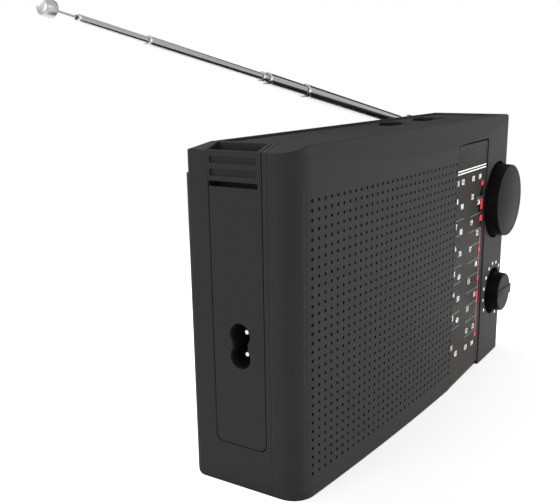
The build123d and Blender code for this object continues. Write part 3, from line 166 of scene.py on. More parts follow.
class RadioColours(bpy.types.PropertyGroup):
    case_plastic: colour_property(
        "Case plastic", "Dark grey of the moulded case", (0.030, 0.030, 0.030))
    knob_plastic: colour_property(
        "Knob plastic", "Near black of the knobs and switch caps", (0.007, 0.007, 0.007))
    dial_plate: colour_property(
        "Dial plate", "Warm grey behind the clear dial strip", (0.026, 0.0245, 0.023))
    print_white: colour_property(
        "White print", "Figures, lines and dots", (0.80, 0.80, 0.78))
    print_green: colour_property(
        "Green print", "Tick lines between the figures", (0.05, 0.15, 0.09))
    print_red: colour_property(
        "Red print", "Bar along the right edge of the dial", (0.40, 0.09, 0.11))
    print_bright_red: colour_property(
        "Bright red print", "Blocks of the bar beside the tuning knob", (0.72, 0.02, 0.04))
    pointer: colour_property(
        "Pointer", "Blade that moves behind the dial strip", (0.60, 0.09, 0.03))
    chrome: colour_property(
        "Chrome", "Collars of the antenna", (0.55, 0.55, 0.56))
    button: colour_property(
        "Button", "Satin plating of the antenna's button", (0.40, 0.40, 0.41))
    antenna: colour_property(
        "Antenna", "Plating of the antenna's tubes", (0.36, 0.36, 0.37))
    steel: colour_property(
        "Steel", "Screws and pressed inner parts", (0.50, 0.50, 0.51))


class GrilleSizes(bpy.types.PropertyGroup):
    columns: IntProperty(
        name="Columns", description="Holes across the grille", default=31, min=2)
    rows: IntProperty(
        name="Rows", description="Holes up the grille", default=31, min=2)
    hole_radius: length_property(
        "Hole radius", "Radius of one hole", 0.70 * MM)
    pitch_across: length_property(
        "Pitch across", "Distance between columns", 4.11 * MM)
    pitch_up: length_property(
        "Pitch up", "Distance between rows", 3.40 * MM)
    margin_left: length_property(
        "Left margin", "From the grille's left edge to the first column", 3.4 * MM)
    margin_bottom: length_property(
        "Lower margin", "From the grille's lower edge to the first row", 6.0 * MM)
    thickness: length_property(
        "Thickness", "Thickness of the grille plate", 1.6 * MM)


class DialSizes(bpy.types.PropertyGroup):
    strip: length_property("Strip", "Thickness of the smoky strip", 1.2 * MM)
    rim_width: length_property("Rim", "Width of the soft rim over the strip", 2.4 * MM)
    rim_height: length_property("Rim height", "How far the rim stands up", 0.4 * MM)
    rim_corner: length_property("Rim corner", "Radius of the rim's corner", 3.0 * MM)
    corner: length_property("Strip corner", "Radius of the strip's upper corners", 1.5 * MM)
    forward: length_property("Forward", "How far the strip's right edge stands forward", 1.35 * MM)
    figure: length_property("Figures", "Height of the figures", 2.6 * MM)
    weight: length_property("Figure weight", "How much the figures are thickened", 0.04 * MM)
    rule: length_property("Header lines", "Thickness of the two header lines", 0.5 * MM)
    tick: length_property("Ticks", "Thickness of the tick lines", 0.38 * MM)
    bar: length_property("Red bar", "Width of the red bar", 0.65 * MM)
    ink: length_property("Ink", "Thickness of the print", 0.015 * MM)
    dot: length_property("Dots", "Radius of a volume dot", 0.85 * MM)
    dot_circle: length_property("Dot circle", "Radius of the row of dots", 15.5 * MM)
    dots: IntProperty(name="Number of dots", description="Dots in the row", default=13, min=2)


class KnobSizes(bpy.types.PropertyGroup):
    edge: length_property("Edge", "Radius of the knobs' front edges", 0.7 * MM)
    taper: length_property("Taper", "How much narrower the front is", 0.5 * MM)
    growth: length_property("Tuning growth", "How far the tuning knob passes its core", 0.8 * MM)
    tuning_reach: length_property("Tuning reach", "How far its face stands out", 0.6 * MM)
    volume_sink: length_property("Volume sink", "How far the volume knob's face is drawn in", 0.9 * MM)
    button_growth: length_property("Button", "How far the antenna's button passes its core", 0.5 * MM)
    flange: length_property("Flange", "Width of the tuning knob's rear rim", 1.8 * MM)
    grip_width: length_property("Grip width", "Width of the bar across the volume knob", 5.2 * MM)
    grip_height: length_property("Grip height", "How far the bar stands up", 0.35 * MM)
    grip_depth: length_property("Grip depth", "How far the bar runs down the side", 8.0 * MM)
    grip_proud: length_property("Grip proud", "How far the bar passes the rim", 0.12 * MM)
    collar: length_property("Collar", "How far an antenna collar stands proud", 0.14 * MM)
    rod: length_property("Rod", "Radius of the rod behind the antenna's button", 0.36 * MM)


class StageSettings(bpy.types.PropertyGroup):
    camera_place: FloatVectorProperty(
        name="Camera", description="Place of the camera", size=3, unit="LENGTH",
        subtype="TRANSLATION", default=(-0.3357, -0.1688, 0.1549))
    camera_right: FloatVectorProperty(
        name="Camera right", description="Direction to the right of the view", size=3,
        subtype="DIRECTION", default=(0.5501, -0.8349, -0.01247))
    camera_up: FloatVectorProperty(
        name="Camera up", description="Direction up the view", size=3,
        subtype="DIRECTION", default=(0.2256, 0.1341, 0.9650))
    lens: FloatProperty(
        name="Lens", description="Focal length for a 36 mm wide sensor", default=52.71,
        subtype="DISTANCE_CAMERA")
    shift: FloatVectorProperty(
        name="Shift", description="Sideways and upward shift of the lens", size=2,
        default=(-0.0036, 0.0696), precision=4)
    key_power: power_property("Key lamp", "Power of the large front lamp", 2.9)
    fill_power: power_property("Fill lamp", "Power of the lamp on the left", 4.7)
    top_power: power_property("Top lamp", "Power of the lamp above and behind", 28.0)
    right_power: power_property("Right lamp", "Power of the low lamp at the front right", 7.0)
    shadow_reach: length_property(
        "Shadow reach", "Distance at which the floor starts to turn plain white", 0.22)
    floor_lift: FloatProperty(
        name="Floor lift", description="Extra white of the floor near the object", default=0.55)
    world_strength: FloatProperty(
        name="World", description="Strength of the even surrounding light", default=0.34)


def settings():
    return bpy.context.scene.radio_looks


class RadioLooks(bpy.types.PropertyGroup):
    colours: PointerProperty(type=RadioColours)
    grille: PointerProperty(type=GrilleSizes)
    dial: PointerProperty(type=DialSizes)
    knobs: PointerProperty(type=KnobSizes)
    stage: PointerProperty(type=StageSettings)


# ---- shader building blocks ------------------------------------------------------------------
def new_group(name, inputs, outputs):
    """Shader group with its sockets, its input node and its output node."""
    group = bpy.data.node_groups.new(name, "ShaderNodeTree")
    for label, kind, default in inputs:
        socket = group.interface.new_socket(name=label, in_out="INPUT", socket_type=kind)
        socket.default_value = default
    for label, kind in outputs:
        group.interface.new_socket(name=label, in_out="OUTPUT", socket_type=kind)
    return group, group.nodes.new("NodeGroupInput"), group.nodes.new("NodeGroupOutput")


def feed(tree, value, socket):
    """Gives a socket its number, or links another socket to it."""
    if isinstance(value, (int, float)):
        socket.default_value = value
    else:
        tree.links.new(value, socket)


def noise(tree, coordinates, scale):
    node = tree.nodes.new("ShaderNodeTexNoise")
    node.inputs["Detail"].default_value = 3.0
    tree.links.new(coordinates, node.inputs["Vector"])
    feed(tree, scale, node.inputs["Scale"])
    return node.outputs["Fac"]


def math_node(tree, operation, *values):
    """Result of a sum on numbers or sockets."""
    node = tree.nodes.new("ShaderNodeMath")
    node.operation = operation
    for value, socket in zip(values, node.inputs):
        feed(tree, value, socket)
    return node.outputs[0]


def scaled_colour(tree, colour, share):
    node = tree.nodes.new("ShaderNodeVectorMath")
    node.operation = "SCALE"
    tree.links.new(colour, node.inputs[0])
    tree.links.new(share, node.inputs["Scale"])
    return node.outputs[0]


def mapped(tree, value, low, high):
    """Value from 0 to 1 spread between low and high, which are numbers or sockets."""
    node = tree.nodes.new("ShaderNodeMapRange")
    tree.links.new(value, node.inputs["Value"])
    feed(tree, low, node.inputs["To Min"])
    feed(tree, high, node.inputs["To Max"])
    return node.outputs["Result"]


def moulding_grain_group():
    """Fine grain of moulded plastic: tinted colour, roughness and a height for bumps."""
    name = "Moulding grain"
    if name in bpy.data.node_groups:
        return bpy.data.node_groups[name]
    group, inside, outside = new_group(
        name,
        (("Color", "NodeSocketColor", (0.04, 0.04, 0.04, 1)),
         ("Grain per metre", "NodeSocketFloat", 2600.0),
         ("Tint", "NodeSocketFloat", 0.12),
         ("Roughness", "NodeSocketFloat", 0.5),
         ("Roughness change", "NodeSocketFloat", 0.08)),
        (("Color", "NodeSocketColor"), ("Roughness", "NodeSocketFloat"),
         ("Height", "NodeSocketFloat")))
    place = group.nodes.new("ShaderNodeTexCoord").outputs["Object"]
    grain = noise(group, place, inside.outputs["Grain per metre"])
    cloud = noise(group, place, CLOUD_PER_METRE)
    tint = inside.outputs["Tint"]
    light = math_node(group, "MULTIPLY_ADD", cloud, tint, 1.0)
    speck = math_node(group, "MULTIPLY_ADD", grain, tint, light)
    share = math_node(group, "SUBTRACT", speck, tint)
    colour = scaled_colour(group, inside.outputs["Color"], share)
    group.links.new(colour, outside.inputs["Color"])
    rough = inside.outputs["Roughness"]
    roughest = math_node(group, "ADD", rough, inside.outputs["Roughness change"])
    group.links.new(mapped(group, cloud, rough, roughest), outside.inputs["Roughness"])
    group.links.new(grain, outside.inputs["Height"])
    return group


def soft_edge_group():
    """Rounded edges without extra faces: a normal that turns over every edge, and its mask."""
    name = "Soft edges"
    if name in bpy.data.node_groups:
        return bpy.data.node_groups[name]
    group, inside, outside = new_group(
        name, (("Radius", "NodeSocketFloat", 0.4 * MM),),
        (("Normal", "NodeSocketVector"), ("Edge", "NodeSocketFloat")))
    bevel = group.nodes.new("ShaderNodeBevel")
    bevel.samples = 6
    group.links.new(inside.outputs["Radius"], bevel.inputs["Radius"])
    flat = group.nodes.new("ShaderNodeNewGeometry")
    same = group.nodes.new("ShaderNodeVectorMath")
    same.operation = "DOT_PRODUCT"
    group.links.new(bevel.outputs["Normal"], same.inputs[0])
    group.links.new(flat.outputs["Normal"], same.inputs[1])
    edge = group.nodes.new("ShaderNodeMapRange")
    group.links.new(same.outputs["Value"], edge.inputs["Value"])
    edge.inputs["From Min"].default_value = 1.0
    edge.inputs["From Max"].default_value = EDGE_TURN
    group.links.new(bevel.outputs["Normal"], outside.inputs["Normal"])
    group.links.new(edge.outputs["Result"], outside.inputs["Edge"])
    return group


def new_material(name):
    material = bpy.data.materials.new(name)
    material.use_nodes = True
    tree = material.node_tree
    shader = tree.nodes["Principled BSDF"]
    return material, tree, shader


def soften_and_paint_highlight(tree, colour, radius, lift):
    """Normal with rounded edges, and a painted highlight: the colour made lighter along them by lift."""
    group = tree.nodes.new("ShaderNodeGroup")
    group.node_tree = soft_edge_group()
    group.inputs["Radius"].default_value = radius
    # painted highlight: the colour is lightened where the normal turns over an edge
    painted_highlight = mapped(tree, group.outputs["Edge"], 1.0, 1.0 + lift)
    return group.outputs["Normal"], scaled_colour(tree, colour, painted_highlight)


def add_bump(tree, shader, height, distance, normal=None):
    bump = tree.nodes.new("ShaderNodeBump")
    if normal is not None:
        tree.links.new(normal, bump.inputs["Normal"])
    bump.inputs["Distance"].default_value = distance
    bump.inputs["Strength"].default_value = 0.6
    tree.links.new(height, bump.inputs["Height"])
    tree.links.new(bump.outputs["Normal"], shader.inputs["Normal"])


def plastic_material(name, colour, roughness=0.5, grain=2600.0, depth=0.00003, tint=0.12,
                     change=0.08, gloss=0.3, edge=0.0, lift=0.0):
    """Moulded plastic with fine grain, and edges rounded by a radius where one is given, with a painted highlight
    along them as strong as lift.
    """
    material, tree, shader = new_material(name)
    shader.inputs["Specular IOR Level"].default_value = gloss
    group = tree.nodes.new("ShaderNodeGroup")
    group.node_tree = moulding_grain_group()
    group.inputs["Color"].default_value = (*colour, 1)
    group.inputs["Grain per metre"].default_value = grain
    group.inputs["Tint"].default_value = tint
    group.inputs["Roughness"].default_value = roughness
    group.inputs["Roughness change"].default_value = change
    surface, normal = group.outputs["Color"], None
    # where a radius is given: rounded edges, and a painted highlight that lightens the colour along them
    if edge > 0:
        normal, surface = soften_and_paint_highlight(tree, surface, edge, lift)
    tree.links.new(surface, shader.inputs["Base Color"])
    tree.links.new(group.outputs["Roughness"], shader.inputs["Roughness"])
    add_bump(tree, shader, group.outputs["Height"], depth, normal=normal)
    return material


def metal_material(name, colour, roughness=0.2, grain=900.0, depth=0.000002):
    """Plated or bare metal with faint unevenness."""
    material = plastic_material(name, colour, roughness, grain, depth, 0.06, 0.06, 0.5)
    material.node_tree.nodes["Principled BSDF"].inputs["Metallic"].default_value = 1.0
    return material


def print_material(name, colour, gloss=0.15):
    """Ink with slightly uneven cover."""
    return plastic_material(name, colour, 0.45, 6000.0, 0.000004, 0.18, gloss=gloss)


def clear_material(name, colour, cover):
    """Clear plastic that covers what lies behind it by a share."""
    material = plastic_material(name, colour, 0.4, 900.0, 0.000001, 0.05, 0.06, 0.04)
    shader = material.node_tree.nodes["Principled BSDF"]
    shader.inputs["Alpha"].default_value = cover
    return material


def give(obj, material):
    """Sets one material on every slot of an object."""
    obj.data.materials.clear()
    obj.data.materials.append(material)
    for polygon in obj.data.polygons:
        polygon.material_index = 0


def linked_object(name, data):
    obj = bpy.data.objects.new(name, data)
    bpy.context.scene.collection.objects.link(obj)
    return obj


def mesh_object(name, mesh, body, material):
    """Piece of the radio: it rides on a body and gets its material."""
    obj = linked_object(name, mesh)
    give(obj, bpy.data.materials[material])
    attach(obj, body)
    return obj


# ---- finishes -----------------------------------------------------------------------------------
def finishes():
    """Every material of the radio, by the record's slot name."""
    colours = settings().colours
    return {
        # edge and lift: rounded edges, and a painted highlight along them
        "case_plastic": plastic_material(
            "Case moulding", colours.case_plastic, 0.48, gloss=0.02, edge=0.4 * MM, lift=0.5),
        # the knobs' rounded edges get a painted highlight as well
        "knob_plastic": plastic_material(
            "Knob moulding", colours.knob_plastic, 0.36, 4200.0, 0.00001, gloss=0.04,
            edge=0.3 * MM, lift=0.6),
        "dial_clear": clear_material("Clear strip", colours.dial_plate, 0.8),
        "dial_grey": plastic_material(
            "Dial plate", colours.dial_plate, 0.55, 3000.0, 0.00001, gloss=0.04),
        "pointer_red": plastic_material("Pointer plastic", colours.pointer, 0.35, 3000.0, 0.000005),
        "chrome": metal_material("Antenna plating", colours.antenna, 0.16),
        "steel": metal_material("Zinc plated steel", colours.steel, 0.32, 1500.0, 0.00001),
        "brass": metal_material("Turned brass", (0.70, 0.50, 0.22), 0.28),
        "black_plastic": plastic_material("Black moulding", (0.012, 0.012, 0.012), 0.4),
        "white_plastic": plastic_material("Natural nylon", (0.68, 0.67, 0.62), 0.4),
        "cord": plastic_material("Waxed cord", (0.62, 0.56, 0.40), 0.7, 5000.0),
        "paper": plastic_material("Pressed paper", (0.02, 0.02, 0.02), 0.9, 1400.0, 0.0001),
        "foam": plastic_material("Foam ring", (0.03, 0.03, 0.03), 0.95, 1200.0, 0.0002),
        "board": plastic_material("Paper laminate", (0.22, 0.12, 0.04), 0.6),
        "iron": metal_material("Dark laminations", (0.14, 0.14, 0.14), 0.6),
        "copper": metal_material("Enamelled wire", (0.55, 0.24, 0.10), 0.35, 4000.0, 0.00002),
        "cell": metal_material("Cell jacket", (0.20, 0.20, 0.21), 0.35),
    }


def inks():
    """Materials that no slot has: platings of the antenna, the grille's plastic, the inks and the painted shade of
    the tuning knob's well.
    """
    colours = settings().colours
    metal_material("Bright plating", colours.chrome, 0.12)
    metal_material("Satin plating", colours.button, 0.3)
    plastic_material("Grille moulding", colours.case_plastic, 0.48, gloss=0.02)
    print_material("White ink", colours.print_white)
    print_material("Green ink", colours.print_green)
    print_material("Red ink", colours.print_red)
    print_material("Bright red ink", colours.print_bright_red)
    # painted shade of the tuning knob's well, in near black
    print_material("Black ink", (0.003, 0.003, 0.003), 0.01)


class RADIO_OT_finishes(bpy.types.Operator):
    """Gives every CAD node the finish of its material slot"""

    bl_idname = "radio.finishes"
    bl_label = "Finishes"

    def execute(self, context):
        made = finishes()
        inks()
        # the shells: wider rounded edges, with a fainter painted highlight along them
        shell = plastic_material(
            "Case shell", settings().colours.case_plastic, 0.48, gloss=0.02, edge=1.1 * MM, lift=0.25)
        for part in frame["record"]["subparts"]:
            node = frame["nodes"][part["node"]]
            finish = shell if part["node"] in SHELLS else made[part["material_slot"]]
            give(node, finish)
        give(frame["nodes"]["inlet_pins"], bpy.data.materials["Bright plating"])
        return {"FINISHED"}


# ---- mesh building blocks -------------------------------------------------------------------
def finish_mesh(build, name, angle=35.0):
    """Turns a bmesh into a smooth mesh that keeps its sharp edges."""
    bmesh.ops.recalc_face_normals(build, faces=build.faces)
    mesh = bpy.data.meshes.new(name)
    build.to_mesh(mesh)
    build.free()
    mesh.shade_smooth()
    mesh.set_sharp_from_angle(angle=math.radians(angle))
    return mesh


def add_turned(build, centre, axis, profile, steps=72):
    """Adds a turned solid; the profile is (distance along the axis, radius), ends included."""
    axis = Vector(axis).normalized()
    side = axis.orthogonal().normalized()
    up = axis.cross(side)
    rings = []
    for along, radius in profile:
        base = Vector(centre) + axis * along
        if radius == 0:
            rings.append([build.verts.new(base)])
            continue
        ring = []
        for i in range(steps):
            angle = 2 * math.pi * i / steps
            ring.append(build.verts.new(base + radius * (side * math.cos(angle) + up * math.sin(angle))))
        rings.append(ring)
    for first, second in zip(rings, rings[1:]):
        for i in range(steps):
            j = (i + 1) % steps
            corners = [first[i % len(first)], first[j % len(first)],
                       second[j % len(second)], second[i % len(second)]]
            build.faces.new(list(dict.fromkeys(corners)))


def turned_mesh(name, centre, axis, profile, steps=72):
    build = bmesh.new()
    add_turned(build, centre, axis, profile, steps)
    return finish_mesh(build, name)


def arc_profile(along, radius, corner, start=0.0, end=90.0, steps=4):
    """Quarter-round part of a profile around (along, radius), from start to end degrees."""
    points = []
    for i in range(steps + 1):
        angle = math.radians(start + (end - start) * i / steps)
        points.append((along - corner * math.cos(angle), radius + corner * math.sin(angle)))
    return points


def add_prism(build, outline, low, high):
    """Adds a straight prism between two heights above a closed outline of (x, y) points."""
    lower = [build.verts.new((x, y, low)) for x, y in outline]
    upper = [build.verts.new((x, y, high)) for x, y in outline]
    build.faces.new(lower)
    build.faces.new(upper)
    count = len(outline)
    for i in range(count):
        j = (i + 1) % count
        build.faces.new((lower[i], lower[j], upper[j], upper[i]))


def add_bar(build, left, right, low, high, depth):
    add_prism(build, ((left, low), (right, low), (right, high), (left, high)), 0.0, depth)


def add_text(build, text, place, height, depth):
    """Adds flat figures centred on a place, standing depth proud."""
    curve = bpy.data.curves.new("figures", "FONT")
    curve.body = text
    curve.size = height / FIGURE_SHARE
    curve.align_x = "CENTER"
    curve.align_y = "CENTER"
    curve.extrude = depth / 2
    curve.offset = settings().dial.weight
    curve.resolution_u = 3
    obj = linked_object("figures", curve)
    bpy.context.view_layer.update()
    mesh = bpy.data.meshes.new_from_object(obj)
    bpy.data.objects.remove(obj)
    bpy.data.curves.remove(curve)
    mesh.transform(Matrix.Translation((place[0], place[1], depth / 2)))
    build.from_mesh(mesh)
    bpy.data.meshes.remove(mesh)


# ---- grille -----------------------------------------------------------------------------------
def grille_levels(low, high, first, pitch, count):
    """Coordinates of the grid lines: the two edges, and three lines to every hole."""
    start = first - pitch / 2
    lines = [low, (low * 2 + start) / 3, (low + start * 2) / 3]
    lines += [start + pitch / 2 * i for i in range(2 * count + 1)]
    lines.append(high)
    return lines


def grille_mesh():
    """Bowed plate with every hole of the grid going through."""
    sizes = settings().grille
    low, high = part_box("speaker_grille")
    xs = grille_levels(low.x, high.x, low.x + sizes.margin_left, sizes.pitch_across, sizes.columns)
    zs = grille_levels(low.z, high.z, low.z + sizes.margin_bottom, sizes.pitch_up, sizes.rows)
    plain_z = low.z + sizes.thickness
    edge = 0.02 * MM
    probes = [min(max(x, low.x + edge), high.x - edge) for x in xs]
    front = [surface_hit("speaker_grille", x, plain_z)[0].y for x in probes]

    def depth_at(x):
        for i in range(len(xs) - 2):
            if x <= xs[i + 1]:
                break
        share = (x - xs[i]) / (xs[i + 1] - xs[i])
        return front[i] + (front[i + 1] - front[i]) * share

    def layer_point(x, z, layer):
        step = 0.2 * MM
        slope = (depth_at(x + step) - depth_at(x - step)) / (2 * step)
        inward = Vector((-slope, 1.0, 0.0)).normalized()
        return Vector((x, depth_at(x), z)) + inward * (sizes.thickness * layer)

    build = bmesh.new()
    grid = {}
    for layer in (0, 1):
        for i, x in enumerate(xs):
            for j, z in enumerate(zs):
                grid[layer, i, j] = build.verts.new(layer_point(x, z, layer))
    first_line = 3
    hole_lines = set()
    around = ((-1, -1), (0, -1), (1, -1), (1, 0), (1, 1), (0, 1), (-1, 1), (-1, 0))
    corners = len(around)
    for column in range(sizes.columns):
        for row in range(sizes.rows):
            i = first_line + 2 * column + 1
            j = first_line + 2 * row + 1
            hole_lines.update(((i - 1, j - 1), (i, j - 1), (i - 1, j), (i, j)))
            rims = []
            for layer in (0, 1):
                rim = []
                for k in range(corners):
                    angle = math.radians(-135 + 360 * k / corners)
                    x = xs[i] + sizes.hole_radius * math.cos(angle)
                    z = zs[j] + sizes.hole_radius * math.sin(angle)
                    rim.append(build.verts.new(layer_point(x, z, layer)))
                for k in range(corners):
                    m = (k + 1) % corners
                    here = grid[layer, i + around[k][0], j + around[k][1]]
                    there = grid[layer, i + around[m][0], j + around[m][1]]
                    build.faces.new((here, there, rim[m], rim[k]))
                rims.append(rim)
            for k in range(corners):
                m = (k + 1) % corners
                build.faces.new((rims[0][k], rims[0][m], rims[1][m], rims[1][k]))
            for layer in (0, 1):
                grid.pop((layer, i, j)).co = rims[layer][0].co
    for layer in (0, 1):
        for i in range(len(xs) - 1):
            for j in range(len(zs) - 1):
                if (i, j) not in hole_lines:
                    build.faces.new((grid[layer, i, j], grid[layer, i + 1, j],
                                     grid[layer, i + 1, j + 1], grid[layer, i, j + 1]))
    border = [(i, 0) for i in range(len(xs))]
    border += [(len(xs) - 1, j) for j in range(1, len(zs))]
    border += [(i, len(zs) - 1) for i in range(len(xs) - 2, -1, -1)]
    border += [(0, j) for j in range(len(zs) - 2, 0, -1)]
    for here, there in zip(border, border[1:] + border[:1]):
        build.faces.new((grid[0, *here], grid[0, *there], grid[1, *there], grid[1, *here]))
    loose = [vertex for vertex in build.verts if not vertex.link_faces]
    bmesh.ops.delete(build, geom=loose, context="VERTS")
    return finish_mesh(build, "Pierced grille", 40.0)


class RADIO_OT_grille(bpy.types.Operator):
    """Builds the bowed speaker grille with all its holes"""

    bl_idname = "radio.grille"
    bl_label = "Grille"

    def execute(self, context):
        grille = mesh_object("Pierced_grille", grille_mesh(), "case",
                             "Grille moulding")
        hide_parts("speaker_grille")
        return {"FINISHED"}


# ---- dial print ---------------------------------------------------------------------------------
def dial_matrix(lift):
    """Frame on the dial strip's face: x along it from the left edge, y up, z outwards."""
    low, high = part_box("dial_lens")
    height = (low.z + high.z) / 2
    left, _ = surface_hit("dial_lens", low.x + MM, height)
    right, _ = surface_hit("dial_lens", high.x - MM, height)
    along = (right + Vector((0, -settings().dial.forward, 0)) - left).normalized()
    up = Vector((0, 0, 1))
    out = along.cross(up)
    corner = left + along * ((low.x - left.x) / along.x) + out * lift
    corner.z = 0.0
    turn = Matrix((along, up, out)).transposed()
    return Matrix.Translation(corner) @ turn.to_4x4()


def strip_width():
    """Width of the strip along its own slanted face."""
    low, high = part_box("dial_lens")
    return (high.x - low.x) / dial_matrix(0.0).col[0].x


def dial_piece(name, build, material, lift):
    build.transform(dial_matrix(lift))
    return mesh_object(name, finish_mesh(build, name, 20.0), "case", material)


def scale_figures():
    """Every figure on the dial: text, distance along the strip and height."""
    for along, marks in FIGURE_COLUMNS:
        for height, text in marks:
            yield text, along * MM, height * MM


class RADIO_OT_strip(bpy.types.Operator):
    """Builds the smoky strip over the dial"""

    bl_idname = "radio.strip"
    bl_label = "Dial strip"

    def execute(self, context):
        sizes = settings().dial
        low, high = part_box("dial_lens")
        wide = strip_width()
        corner = sizes.corner
        outline = [(0.0, low.z), (wide, low.z)]
        for along, start in ((wide - corner, 0.0), (corner, 90.0)):
            for i in range(7):
                angle = math.radians(start + 15 * i)
                outline.append((along + corner * math.cos(angle),
                                high.z - corner + corner * math.sin(angle)))
        build = bmesh.new()
        add_prism(build, outline, -sizes.strip, 0.0)
        front = [edge for edge in build.edges if all(vertex.co.z > -MM / 2 for vertex in edge.verts)]
        bmesh.ops.bevel(build, geom=front, offset=0.25 * MM, segments=3, profile=0.5,
                        affect="EDGES", clamp_overlap=True)
        strip = dial_piece("Dial_strip", build, "Clear strip", 0.0)
        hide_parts("dial_lens")
        return {"FINISHED"}


class RADIO_OT_rim(bpy.types.Operator):
    """Builds the soft rim along the strip's top edge and round its right corner"""

    bl_idname = "radio.rim"
    bl_label = "Dial rim"

    def execute(self, context):
        sizes = settings().dial
        half = sizes.rim_width / 2
        corner = sizes.rim_corner
        right = strip_width() - half
        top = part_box("dial_lens")[1].z - half
        bends = 10
        across_steps = 8
        path = [((0.3 * MM, top), 90.0, 1.0), ((right - corner, top), 90.0, 1.0)]
        for i in range(1, bends + 1):
            angle = 90.0 - 90.0 * i / bends
            turn = math.radians(angle)
            path.append(((right - corner + corner * math.cos(turn),
                          top - corner + corner * math.sin(turn)), angle, 1.0 - i / (bends + 1)))
        build = bmesh.new()
        rings = []
        for (along, height), angle, rise in path:
            side = Vector((math.cos(math.radians(angle)), math.sin(math.radians(angle)), 0))
            ring = []
            for i in range(across_steps + 1):
                across = math.pi * i / across_steps
                place = Vector((along, height, 0)) + side * half * math.cos(across)
                place.z = sizes.rim_height * rise * math.sin(across)
                ring.append(build.verts.new(place))
            rings.append(ring)
        for first, second in zip(rings, rings[1:]):
            for i in range(len(first)):
                j = (i + 1) % len(first)
                build.faces.new((first[i], first[j], second[j], second[i]))
        build.faces.new(rings[0])
        build.faces.new(rings[-1])
        build.transform(dial_matrix(0.0))
        mesh_object("Dial_rim", finish_mesh(build, "Dial rim", 50.0), "case",
                    "Case moulding")
        return {"FINISHED"}


class RADIO_OT_dial(bpy.types.Operator):
    """Prints the figures, lines and the red bar on the dial strip, and paints the shade of the tuning knob's well
    on it
    """

    bl_idname = "radio.dial"
    bl_label = "Dial print"

    def execute(self, context):
        sizes = settings().dial
        depth = sizes.ink
        white = bmesh.new()
        for height in HEADER_LINES:
            add_bar(white, HEADER_SPAN[0] * MM, HEADER_SPAN[1] * MM,
                    height * MM - sizes.rule / 2, height * MM + sizes.rule / 2, depth)
        for text, along, height in scale_figures():
            add_text(white, text, (along, height), sizes.figure, depth)
        dial_piece("Dial_figures", white, "White ink", sizes.ink)

        green = bmesh.new()
        for (left, right), heights in TICK_ROWS:
            for height in heights:
                add_bar(green, left * MM, right * MM, height * MM - sizes.tick / 2,
                        height * MM + sizes.tick / 2, depth)
        dial_piece("Dial_ticks", green, "Green ink", sizes.ink)

        # painted shade: a near black crescent where the tuning knob's well shows dark through the strip
        shade = bmesh.new()
        outline = []
        left, right = SHADE_SPAN[0] * MM, SHADE_SPAN[1] * MM
        half = SHADE_HALF * MM
        sag = right - left
        radius = (half * half + sag * sag) / (2 * sag)
        reach = math.asin(half / radius)
        steps = 24
        for i in range(steps + 1):
            angle = math.pi - reach + 2 * reach * i / steps
            outline.append((left + radius + radius * math.cos(angle),
                            SHADE_Z * MM + radius * math.sin(angle)))
        add_prism(shade, outline, 0.0, depth)
        dial_piece("Dial_shade", shade, "Black ink", sizes.ink / 2)

        red = bmesh.new()
        middle = RED_BAR_U * MM
        add_bar(red, middle - sizes.bar / 2, middle + sizes.bar / 2,
                RED_BAR_Z[0] * MM, RED_BAR_Z[1] * MM, depth)
        dial_piece("Dial_red_bar", red, "Red ink", 2 * sizes.ink)
        blocks = bmesh.new()
        for low, high, width in RED_BLOCKS:
            add_bar(blocks, middle - width / 2 * MM, middle + width / 2 * MM, low * MM, high * MM, depth)
        dial_piece("Dial_red_blocks", blocks, "Bright red ink", 3 * sizes.ink)
        return {"FINISHED"}


class RADIO_OT_dots(bpy.types.Operator):
    """Prints the row of dots around the volume knob"""

    bl_idname = "radio.dots"
    bl_label = "Volume dots"

    def execute(self, context):
        sizes = settings().dial
        middle = centre_of("volume_knob")
        dots = bmesh.new()
        for i in range(sizes.dots):
            share = i / (sizes.dots - 1)
            angle = math.radians(DOT_START + (DOT_END - DOT_START) * share)
            x = middle.x + sizes.dot_circle * math.cos(angle)
            z = middle.z + sizes.dot_circle * math.sin(angle)
            place, normal = surface_hit("front_shell", x, z)
            profile = [(0.0, 0.0), (0.0, sizes.dot), (sizes.ink, sizes.dot * 0.9), (sizes.ink, 0.0)]
            add_turned(dots, place, normal, profile, 16)
        mesh_object("Volume_dots", finish_mesh(dots, "Volume dots", 30.0), "case",
                    "White ink")
        return {"FINISHED"}


